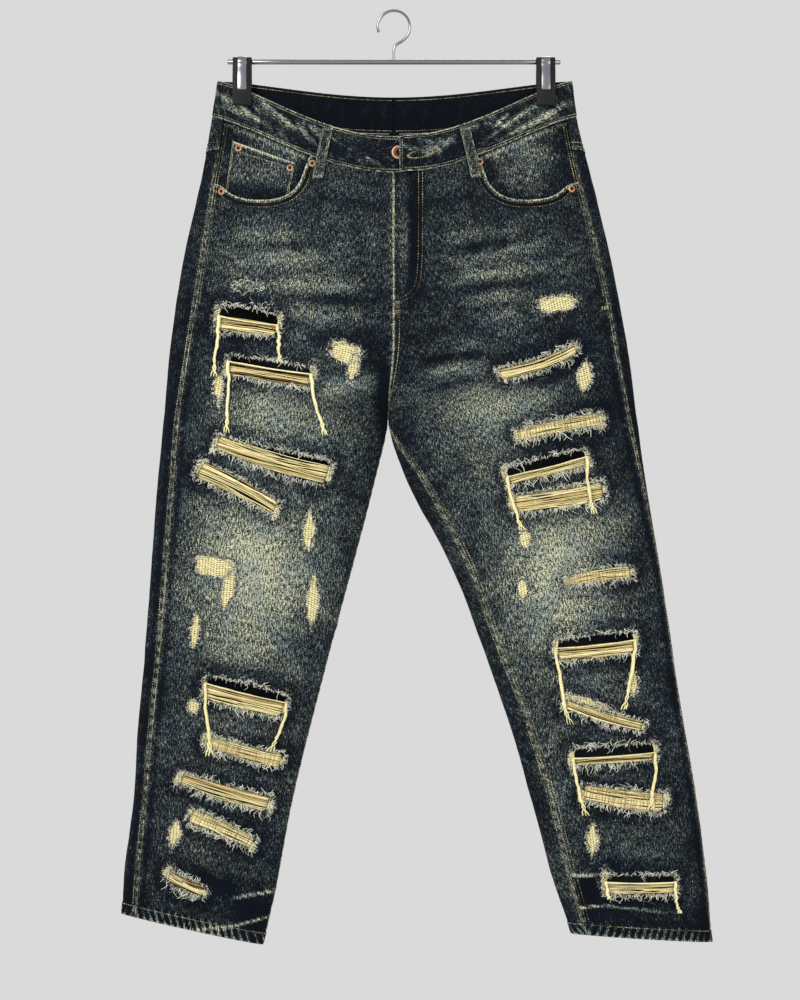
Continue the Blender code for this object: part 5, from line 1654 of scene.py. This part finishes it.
def panel_place(side, face, share, drop):
    """Points and normals of a front or back at a share across and a drop."""
    rows, columns = GRIDS[face]
    top = panel_top(face, share)
    return on_sheet((side, face), (drop - top) / (hem_drop(side) - top) * rows, share * columns)


def seam_line(side, face, edge, offset, first, last, pitch=STITCH, long=STITCH_LONG):
    """Stitches along a panel's outer or inner edge, an offset away from it."""
    drop = np.linspace(first, last, 160)
    width = leg_width(side, drop) * 1.06
    share = offset / width if edge == "outer" else 1 - offset / width
    sew(f"{face}_{side}", *panel_place(side, face, share, drop), pitch, long)


def seen_line(group, side, places):
    """Stitches through places of x and drop as seen in front."""
    path = np.array(places, float)
    drop = nominal_drop(side, "front", path[:, 0], path[:, 1])
    turn = angle_at(side, drop, path[:, 0])
    start, stop = panel_turn(side, "front", 0.0, drop), panel_turn(side, "front", 1.0, drop)
    sew(group, *panel_place(side, "front", (turn - start) / (stop - start), drop))


def sideways(path):
    """Unit vectors to the left of a flat path."""
    way = unit(np.gradient(path, axis=0))
    return np.stack([-way[:, 1], way[:, 0]], axis=-1)


def tack(group, key, row, column, wide, down, count=9):
    """A bar tack: close stitches side by side over a short line."""
    rows = row + np.linspace(-down, down, count)[:, None] + 0 * np.zeros((1, 2))
    columns = column + np.array([[-wide, wide]]) + 0 * rows
    points, facing = on_sheet(key, rows, columns)
    way = points[:, 1] - points[:, 0]
    keep_run(group, points.mean(axis=1), way, facing.mean(axis=1), np.linalg.norm(way, axis=-1))


def hem_line(side, face):
    """Stitches across a leg, just below the top of its turned-up hem."""
    share = np.linspace(0.003, 0.997, 120)
    sew(f"{face}_{side}", *panel_place(side, face, share, hem_drop(side) - HEM_HEIGHT + HEM_ROW))


def front_seams(side):
    """Outseam, inseam, hem and the two rows along the pocket mouth."""
    hem = hem_drop(side) - HEM_HEIGHT
    seam_line(side, "front", "outer", FIRST_ROW, 46, hem, 2.7, 2.45)
    seam_line(side, "front", "outer", 9.0, 46, 250)
    seam_line(side, "front", "inner", FIRST_ROW, CROTCH + 6, hem)
    seam_line(side, "front", "inner", 7.8, CROTCH + 12, hem)
    hem_line(side, "front")
    sign = 1.0 if side == "right" else -1.0
    path = pocket_path(side)
    for away in (3.4, 8.4):
        seen_line(f"front_{side}", side, (path - sideways(path) * sign * away)[2:-1])


def fly_seams():
    """The lap's edge, the curved double row of the fly and the tack at its foot."""
    seam_line("left", "front", "inner", 1.8, 50, CROTCH - 4)
    seam_line("left", "front", "inner", 6.4, FLY_END + 6, CROTCH - 6)
    curve = [(34, 52), (33, 110), (33, 170), (32, 215), (29, 238), (22, 250), (12, 257), (4, 259)]
    path = rounded_path(curve, 90)
    seen_line("front_left", "left", path)
    seen_line("front_left", "left", (path + sideways(path) * 4.6)[:-4])
    rows, columns = GRIDS["front"]
    tack("front_left", ("left", "front"), rows * 0.232, columns - 1.6, 1.2, 3.2)


def back_seams(side):
    """Outseam, inseam, hem, middle seam, yoke and the outline of the back pocket."""
    hem = hem_drop(side) - HEM_HEIGHT
    seam_line(side, "back", "inner", FIRST_ROW, CROTCH + 6, hem)
    seam_line(side, "back", "outer", 3.0, 90, hem)
    hem_line(side, "back")
    if side == "left":
        seam_line(side, "back", "inner", 2.0, 118, CROTCH - 6)
        seam_line(side, "back", "inner", 6.8, 118, CROTCH - 8)
    rows, columns = YOKE_GRID
    column = np.linspace(0.4, columns - 0.4, 90)
    for row in (rows - 3.4, rows - 7.8):
        sew(f"back_{side}", *on_sheet((side, "yoke"), row, column))
    rows, columns = POCKET_GRID
    down = np.linspace(0, 1, 60)
    for inset in (1.6, 5.2):
        half, low = 0.5 * inset, rows - 0.5 * inset
        left = np.stack([down * low, half + 0 * down], axis=-1)
        across = np.stack([low + 0 * down, half + down * (columns - inset)], axis=-1)
        right = left[::-1] * np.array([1.0, -1.0]) + np.array([0.0, columns])
        line = np.concatenate([left, across, right])
        sew(f"back_{side}", *on_sheet((side, "pocket"), line[:, 0], line[:, 1]))
    across = np.linspace(1, columns - 1, 60)
    sew(f"back_{side}", *on_sheet((side, "pocket"), 5.0, across))


def band_seams(side):
    """Both edges of the band, its inner face, the yoke's overlock and the front end."""
    group, band = f"band_{side}", (side, "band")
    rows, columns = BAND_GRID
    edges = (1.7, rows - 1.6)
    for row in edges:
        sew(group, *on_sheet(band, row, np.linspace(2, columns - 3, 260)), *CLOSE)
    for row in edges:
        sew(group, *inside_out(*on_sheet(band, row, np.linspace(1, 140, 140)), 2.5), *CLOSE)
    column = np.linspace(30, YOKE_GRID[1] - 0.6, 320)
    row = 1.0 + 2.2 * (np.arange(320) % 2)
    points, normal = inside_out(*on_sheet((side, "yoke"), row, column), THIN + 0.4)
    way = np.diff(points, axis=0)
    middle = 0.5 * (points[1:] + points[:-1])
    keep_run(group, middle, way, normal[1:], np.linalg.norm(way, axis=-1))
    sew(group, *on_sheet(band, np.linspace(2, rows - 2, 20), columns - 1.6))


def buttonhole():
    """The worn eyelet of the left end: close stitches round a long slot."""
    columns = BAND_GRID[1]
    turn = np.linspace(0, TURN, 46, endpoint=False)
    r = 11.0 + 1.5 * np.sin(turn) * (1 + 0.25 * np.cos(turn)) + 0.9 * np.cos(turn)
    c = columns - 13.0 + 8.0 * np.cos(turn)
    inner = on_sheet(("left", "band"), r, c)
    outer = on_sheet(("left", "band"), r + 0.75 * np.sin(turn), c + 1.0 * np.cos(turn))
    way = outer[0] - inner[0]
    keep_run("band_left", 0.5 * (inner[0] + outer[0]), way, inner[1], np.linalg.norm(way, axis=-1) + 1.0)


def small_seams():
    """The coin pocket, the belt loops with their tacks and the tacks at the sides."""
    coin_key = ("right", "coin")
    rows, columns = COIN_GRID
    for row in (1.7, 5.2):
        sew("front_right", *on_sheet(coin_key, row, np.linspace(2.0, columns - 2.0, 60)))
    for column in (1.8, columns - 1.8):
        sew("front_right", *on_sheet(coin_key, np.linspace(1, rows - 1, 40), column))
    rows, columns = LOOP_GRID
    for name, (side, face) in LOOPS.items():
        group = f"{face}_{side}"
        for column in (2.6, columns - 2.6):
            sew(group, *on_sheet(name, np.linspace(2.5, rows - 2.5, 60), column))
        for row in (1.3, rows - 1.3):
            tack(group, name, row, 0.5 * columns, 6.0, 0.8, 6)
    for side, x, drop in (("right", -232, 254), ("left", 248, 262)):
        inward = 9 if side == "right" else -9
        for step in range(5):
            places = np.linspace([x, drop], [x + inward, drop + 1], 6)
            seen_line(f"front_{side}", side, places + np.array([0.0, 0.8 * step]))


def thread_material():
    """Topstitching thread, tan to cream, dulled by washing."""
    paint = Paint("thread")
    colour = paint.ramp(paint.given("shade"), (
        (0.0, (0.026, 0.022, 0.015)), (0.35, (0.130, 0.105, 0.060)),
        (0.65, (0.380, 0.335, 0.190)), (1.0, (0.720, 0.680, 0.440)),
    ))
    return paint.finish(Base_Color=colour, Roughness=0.8, Specular_IOR_Level=0.2)


for side in LEGS:
    front_seams(side)
    back_seams(side)
    band_seams(side)
fly_seams()
buttonhole()
small_seams()
THREAD = thread_material()
stitch_objects = []
for number, (group, runs) in enumerate(RUNS.items()):
    rng = np.random.default_rng(500 + number)
    middle, way, normal, long = (np.concatenate(part) for part in zip(*runs))
    t = np.array([-1.0, -0.45, 0.45, 1.0])
    lift = np.array([-0.25, 0.30, 0.30, -0.25])
    paths = middle[:, None] + way[:, None] * (t * 0.5)[None, :, None] * long[:, None, None]
    paths = paths + normal[:, None] * lift[None, :, None]
    thick = np.array([0.26, 0.48, 0.48, 0.26])[None, :] + np.zeros((len(middle), 1))
    patchy = noise2(middle[:, 2], middle[:, 0], 30.0, number)
    shade = np.clip(0.46 + 0.30 * patchy + 0.16 * rng.normal(0, 1, len(middle)), 0.0, 1.0)
    if group.startswith("band"):
        shade = shade * 0.9 + 0.1
    obj = yarn_object(f"stitches_{group}", paths, thick, 3, shade, THREAD)
    stitch_objects.append(register(obj, "yarn"))
print({obj.name: len(obj.data.polygons) for obj in stitch_objects})

# %% [markdown]
# ## Metal and plastic
#
# Button and rivets are turned parts, so each is a profile swept once round.
# The hook is bent from one wire, and the clips are short mouldings. Their
# finishes are copper worn bright on the rims, polished steel and black nylon.

# %% Button, rivets, zip and hanger
BUTTON_AT = (5.0, 86.0)
RIVETS = {
    "rivet_pocket_right_inner": ("front", -94, 98),
    "rivet_pocket_right_outer": ("front", -199, 130),
    "rivet_pocket_left_inner": ("front", 99, 96),
    "rivet_pocket_left_outer": ("front", 205, 127),
    "rivet_coin_inner": ("coin", -120, 103),
    "rivet_coin_outer": ("coin", -180, 79),
}
BUTTON_PROFILE = (
    (0, 1.1), (1.6, 1.1), (2.0, 1.6), (2.6, 1.6), (3.0, 0.9), (4.9, 0.8), (5.4, 1.7), (6.1, 2.4),
    (6.9, 2.5), (7.6, 1.9), (8.0, 0.9), (7.9, 0.0), (0, 0.0),
)
RIVET_PROFILE = (
    (0, 0.5), (0.7, 0.5), (1.0, 1.0), (1.5, 1.5), (2.4, 1.6), (3.3, 1.3), (4.0, 0.6), (4.2, 0.0),
    (0, 0.0),
)


def lathe(name, profile, centre, axis, material, steps):
    """A closed turned part: a profile of radius and height swept round an axis."""
    profile = np.array(profile, float)
    radius, height = profile[1:-1, 0], profile[1:-1, 1]
    turn = np.arange(steps) * TURN / steps
    ring = np.stack([radius[:, None] * np.cos(turn), radius[:, None] * np.sin(turn)], -1)
    heights = np.repeat(height[:, None, None], steps, axis=1)
    points = np.concatenate([ring, heights], axis=-1).reshape(-1, 3)
    points = np.concatenate([points, [[0, 0, profile[0, 1]], [0, 0, profile[-1, 1]]]])
    index = np.arange(len(radius) * steps).reshape(-1, steps)
    faces = between_rings(index)
    top, base = len(points) - 2, len(points) - 1
    first, last = index[0], index[-1]
    faces.append(np.stack([np.full(steps, top), first, np.roll(first, -1)], -1))
    faces.append(np.stack([np.full(steps, base), np.roll(last, -1), last], -1))
    size = np.concatenate([np.repeat(radius / radius.max(), steps), [0.0, 1.0]])
    turned_to = Vector(axis).to_track_quat("Z", "Y").to_matrix()
    points = points @ np.array(turned_to).T + np.array(centre)
    return to_mesh(name, points, np.concatenate(faces), [material], None, {"radius": size})


def copper_material():
    """Copper worn bright on the raised ring, and darkened in the hollows."""
    paint = Paint("copper_worn")
    radius = paint.given("radius")
    grime = paint.noise(paint.place(), 900.0, 3.0, 0.6)
    hollow = 1.0 - radius.step(0.30, 0.46)
    colour = paint.ramp((radius.step(0.4, 0.8) + (grime - 0.5) * 0.8).most(0.0), (
        (0.0, (0.060, 0.026, 0.014)), (0.5, (0.27, 0.120, 0.062)), (1.0, (0.60, 0.360, 0.210)),
    ))
    colour = paint.mix(hollow * 0.9, colour, (0.016, 0.009, 0.006))
    return paint.finish(Base_Color=colour, Metallic=0.7, Roughness=grime * 0.3 + 0.34)


def zip_material():
    """Dark woven tape with brass teeth along its middle."""
    paint = Paint("zip_tape")
    split = paint.add("ShaderNodeSeparateXYZ", {}, {0: paint.place()})
    x, z = Value(paint, split.outputs[0]), Value(paint, split.outputs[2])
    away = x.most(-1.0 * x)
    teeth = (z * 2400.0).sine().step(-0.2, 0.4)
    middle = 1.0 - away.step(0.0028, 0.0032)
    weave = paint.noise(paint.place((1.0, 1.0, 0.5)), 900.0, 2.0, 0.6)
    tape = paint.mix(weave, (0.012, 0.014, 0.018), (0.045, 0.048, 0.052))
    colour = paint.mix(middle * teeth, tape, (0.50, 0.33, 0.14))
    paint.bump(middle * teeth, 0.6, 0.0006)
    return paint.finish(Base_Color=colour, Metallic=middle * teeth, Roughness=0.45)


def steel_material():
    """Polished steel with fine scratches along the bar."""
    paint = Paint("hanger_steel_polished")
    scratch = paint.noise(paint.place((1.0, 1.0, 12.0)), 300.0, 2.0, 0.6)
    colour = paint.mix(scratch, (0.30, 0.31, 0.33), (0.20, 0.21, 0.23))
    return paint.finish(Base_Color=colour, Metallic=1.0, Roughness=scratch * 0.16 + 0.16)


def nylon_material():
    """Black nylon with a fine grain."""
    paint = Paint("clip_nylon_black")
    grain = paint.noise(paint.place(), 1400.0, 2.0, 0.6)
    colour = paint.mix(grain, (0.003, 0.003, 0.0035), (0.010, 0.010, 0.011))
    paint.bump(grain, 0.25, 0.0002)
    return paint.finish(Base_Color=colour, Roughness=grain * 0.2 + 0.5, Specular_IOR_Level=0.2)


COPPER = copper_material()
STEEL = steel_material()
NYLON = nylon_material()


def fastening(node, profile, side, x, drop, level, steps):
    """A turned copper part set on the cloth at a level, facing out of it."""
    base = on_cloth(side, "front", x, drop, level)
    axis = on_cloth(side, "front", x, drop, level + 2.0) - base
    return register(lathe(f"{node}_copper", profile, base, axis, COPPER, steps), "copper", node)


def fastenings():
    """The button on the right end of the band, and the rivets of the pockets."""
    made = [fastening("button", BUTTON_PROFILE, "right", *BUTTON_AT, BAND_PROUD + 0.35, 36)]
    for node, (place, x, drop) in RIVETS.items():
        side, level = "right" if x < 0 else "left", 0.5 if place == "front" else 0.0
        made.append(fastening(node, RIVET_PROFILE, side, x, drop, level, 28))
    return made


HOOK_RADIUS = 17.0
HOOK_WIRE = 1.7
BAR_DROP = 58.0
BAR_RADIUS = 3.0
BAR_END = 193.0


def hanger():
    """The bent hook and the round bar, as two closed tubes in one piece."""
    top = HOOK_RADIUS + HOOK_WIRE
    turns = np.radians(np.linspace(200, -45, 20))
    bend = np.stack([top * np.cos(turns), 0 * turns, -HOOK_RADIUS + top * np.sin(turns)], axis=-1)
    neck = np.array([(9.0, 0, -34.0), (2.5, 0, -38.0), (0, 0, -43.0), (0, 0, -50.0), (0, 0, -BAR_DROP)])
    path = rounded_path(np.concatenate([bend, neck]), 120)
    hook_points, hook_faces = tubes(path[None], HOOK_WIRE, 14)
    bar = np.linspace([-BAR_END, 0, -BAR_DROP], [BAR_END, 0, -BAR_DROP], 12)
    radius = np.full(12, BAR_RADIUS)
    radius[[0, -1]] = BAR_RADIUS - 0.6
    bar[1, 0], bar[-2, 0] = -BAR_END + 0.8, BAR_END - 0.8
    bar_points, bar_faces = tubes(bar[None], radius, 20)
    points = np.concatenate([hook_points, bar_points])
    faces = np.concatenate([hook_faces, bar_faces + len(hook_points)])
    return register(to_mesh("hanger_wire", points, faces, [STEEL]), "hanger_steel", "hanger")


metal = fastenings()
metal.append(hanger())
tape = bpy.data.objects["zip"]
tape.data.materials.clear()
tape.data.materials.append(zip_material())
print(len(metal), "metal parts")

# %% [markdown]
# ## The clips
#
# A trouser clip is one bent moulding that straddles the bar, with a leaf of
# spring steel over its back. Both are a strip: a path seen from the side, made
# thick on its outer side and swept along X with softened ends.

# %% Clips
CLIP_WALL = 2.2
CLIP_EYE = 3.4
CLIP_TIP = -109.5
CLIP_EDGE = 0.7
SPRING_WALL = 0.8
SPRING_HALF = 5.0


def strip(name, inner, thick, x0, x1, material):
    """A bent strip: a path of y and z, thickened to its left, swept from x0 to x1."""
    normal = sideways(inner)
    edge = min(CLIP_EDGE, 0.4 * float(np.min(thick)))
    ends = ((0.0, 1.0), (0.3, 0.3), (1.0, 0.0))
    stations = [(x0 + far * edge, part) for far, part in ends]
    stations += [(x1 - far * edge, part) for far, part in ends[::-1]]
    loops = []
    for x, part in stations:
        low = inner + normal * part * edge
        high = inner + normal * (thick - part * edge)[:, None]
        loop = np.concatenate([low, high[::-1]])
        loops.append(np.column_stack([np.full(len(loop), x), loop]))
    count = len(inner)
    index = np.arange(len(stations) * 2 * count).reshape(len(stations), 2 * count)
    a, b = index[:-1], index[1:]
    c, d = np.roll(a, -1, axis=1), np.roll(b, -1, axis=1)
    faces = [np.stack([a, b, d, c], axis=-1).reshape(-1, 4)]
    low, high = np.arange(count), 2 * count - 1 - np.arange(count)
    for ring in (index[0], index[-1]):
        faces.append(np.stack([ring[low[:-1]], ring[low[1:]], ring[high[1:]], ring[high[:-1]]], axis=-1))
    obj = to_mesh(name, np.array(loops).reshape(-1, 3), np.concatenate(faces), [material])
    shape = bmesh.new()
    shape.from_mesh(obj.data)
    bmesh.ops.recalc_face_normals(shape, faces=shape.faces)
    shape.to_mesh(obj.data)
    shape.free()
    return obj


def clip_pieces(side):
    """The moulded shell, ribbed near its tips, and the spring that hugs it."""
    (x0, y0, _), (x1, y1, _) = (np.array(corner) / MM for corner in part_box(f"clip_{side}"))
    front, back = y0 + CLIP_WALL, y1 - CLIP_WALL
    arch = np.radians(np.linspace(180, 0, 9))
    round_bar = np.stack([CLIP_EYE * np.cos(arch), -BAR_DROP + CLIP_EYE * np.sin(arch)], axis=-1)
    heights = np.array([CLIP_TIP, -102, -94, -86, -74, -63])
    inward = np.array([1.0, 1.0, 1.0, 0.98, 0.78, 0.0])
    left = np.stack([front * inward - 3.6 * (inward == 0), heights], axis=-1)
    right = np.stack([back * inward + 3.6 * (inward == 0), heights], axis=-1)[::-1]
    inner = rounded_path(np.concatenate([left, round_bar, right]), 150)
    tip = np.minimum(1.0, 0.45 + (inner[:, 1] - CLIP_TIP) / 4.0)
    ribs = 0.45 * np.sin(TURN * inner[:, 1] / 2.6) * smooth(inner[:, 1], -107, -105)
    thick = CLIP_WALL * tip + (0.45 + ribs) * (1 - smooth(inner[:, 1], -96, -93))
    shell = strip(f"clip_{side}_shell", inner, thick, x0, x1, NYLON)
    high = inner[:, 1] > -91
    outer = inner + sideways(inner) * (thick + 0.1)[:, None]
    middle = 0.5 * (x0 + x1)
    name, thick = f"clip_{side}_spring", np.full(high.sum(), SPRING_WALL)
    leaf = strip(name, outer[high], thick, middle - SPRING_HALF, middle + SPRING_HALF, STEEL)
    register(leaf, "hanger_steel")
    return register(shell, "clip_plastic", f"clip_{side}"), leaf


clips = {side: clip_pieces(side) for side in LEGS}
print({obj.name: len(obj.data.polygons) for pair in clips.values() for obj in pair})

# %% [markdown]
# ## Sheets of cloth
#
# The size each piece of cloth was cut to is worked out and printed. The grids are
# laid along the cloth, so their lengths across and down, and the area of their
# cells, are the flat piece as far as it shows.

# %% Flat sizes


def cut_size(key):
    """Width and length in metres, and area in square metres, of a kept surface."""
    points = LAID[key][0] * MM
    width = np.linalg.norm(np.diff(points, axis=1), axis=-1).sum(axis=1).max()
    length = np.linalg.norm(np.diff(points, axis=0), axis=-1).sum(axis=0).max()
    cross = np.cross(points[1:, 1:] - points[:-1, :-1], points[1:, :-1] - points[:-1, 1:])
    cells = 0.5 * np.linalg.norm(cross, axis=-1)
    if key in KEPT:
        cells = cells[KEPT[key]]
    return float(width), float(length), float(cells.sum())


def declare(obj, key, *under):
    """Return the flat size of a piece's kept surface in mm and square cm; the piece itself and what it
    hangs on are not used.
    """
    width, length, area = cut_size(key)
    return [round(width * 1000), round(length * 1000), round(area * 1e4)]


sizes = {}
for side in LEGS:
    sizes[bands[side].name] = declare(bands[side], (side, "band"), clips[side][0])
    sizes[yokes[side].name] = declare(yokes[side], (side, "yoke"), bands[side])
    sizes[facings[side].name] = declare(facings[side], (side, "facing"), bands[side])
    sizes[back_pockets[side].name] = declare(back_pockets[side], (side, "pocket"), panels[(side, "back")])
    for face in ("front", "back"):
        over = bands[side] if face == "front" else yokes[side]
        sizes[panels[(side, face)].name] = declare(panels[(side, face)], (side, face), over)
sizes[coin.name] = declare(coin, ("right", "coin"), facings["right"])
for name, obj in loops.items():
    sizes[obj.name] = declare(obj, name, bands[LOOPS[name][0]])
print("width, length in mm and area in square cm:", sizes)

# %% [markdown]
# ## Floor
#
# The floor is plain, pale and far below the hems, so that the jeans hang free.
# It is a round disc with a very faint unevenness in its paint.

# %% Floor
FLOOR = -1600.0
FLOOR_RADIUS = 2900.0


def floor():
    """A round disc: a square grid, each side pressed in by a square root."""
    count = 49
    u, v = np.linspace(-1, 1, count)[None, :], np.linspace(-1, 1, count)[:, None]
    x, y = u * np.sqrt(1 - v**2 / 2), v * np.sqrt(1 - u**2 / 2)
    points = np.stack([x * FLOOR_RADIUS, y * FLOOR_RADIUS, FLOOR + 0 * x], axis=-1)
    quads = grid_quads(count, count)[..., ::-1].reshape(-1, 4)
    paint = Paint("floor_pale")
    soft = paint.noise(paint.place(), 3.0, 2.0, 0.5)
    colour = paint.mix(soft, (0.66, 0.66, 0.66), (0.72, 0.72, 0.72))
    pale = paint.finish(Base_Color=colour, Roughness=0.9, Specular_IOR_Level=0.1)
    to_mesh("floor", points.reshape(-1, 3), quads, [pale])


floor()
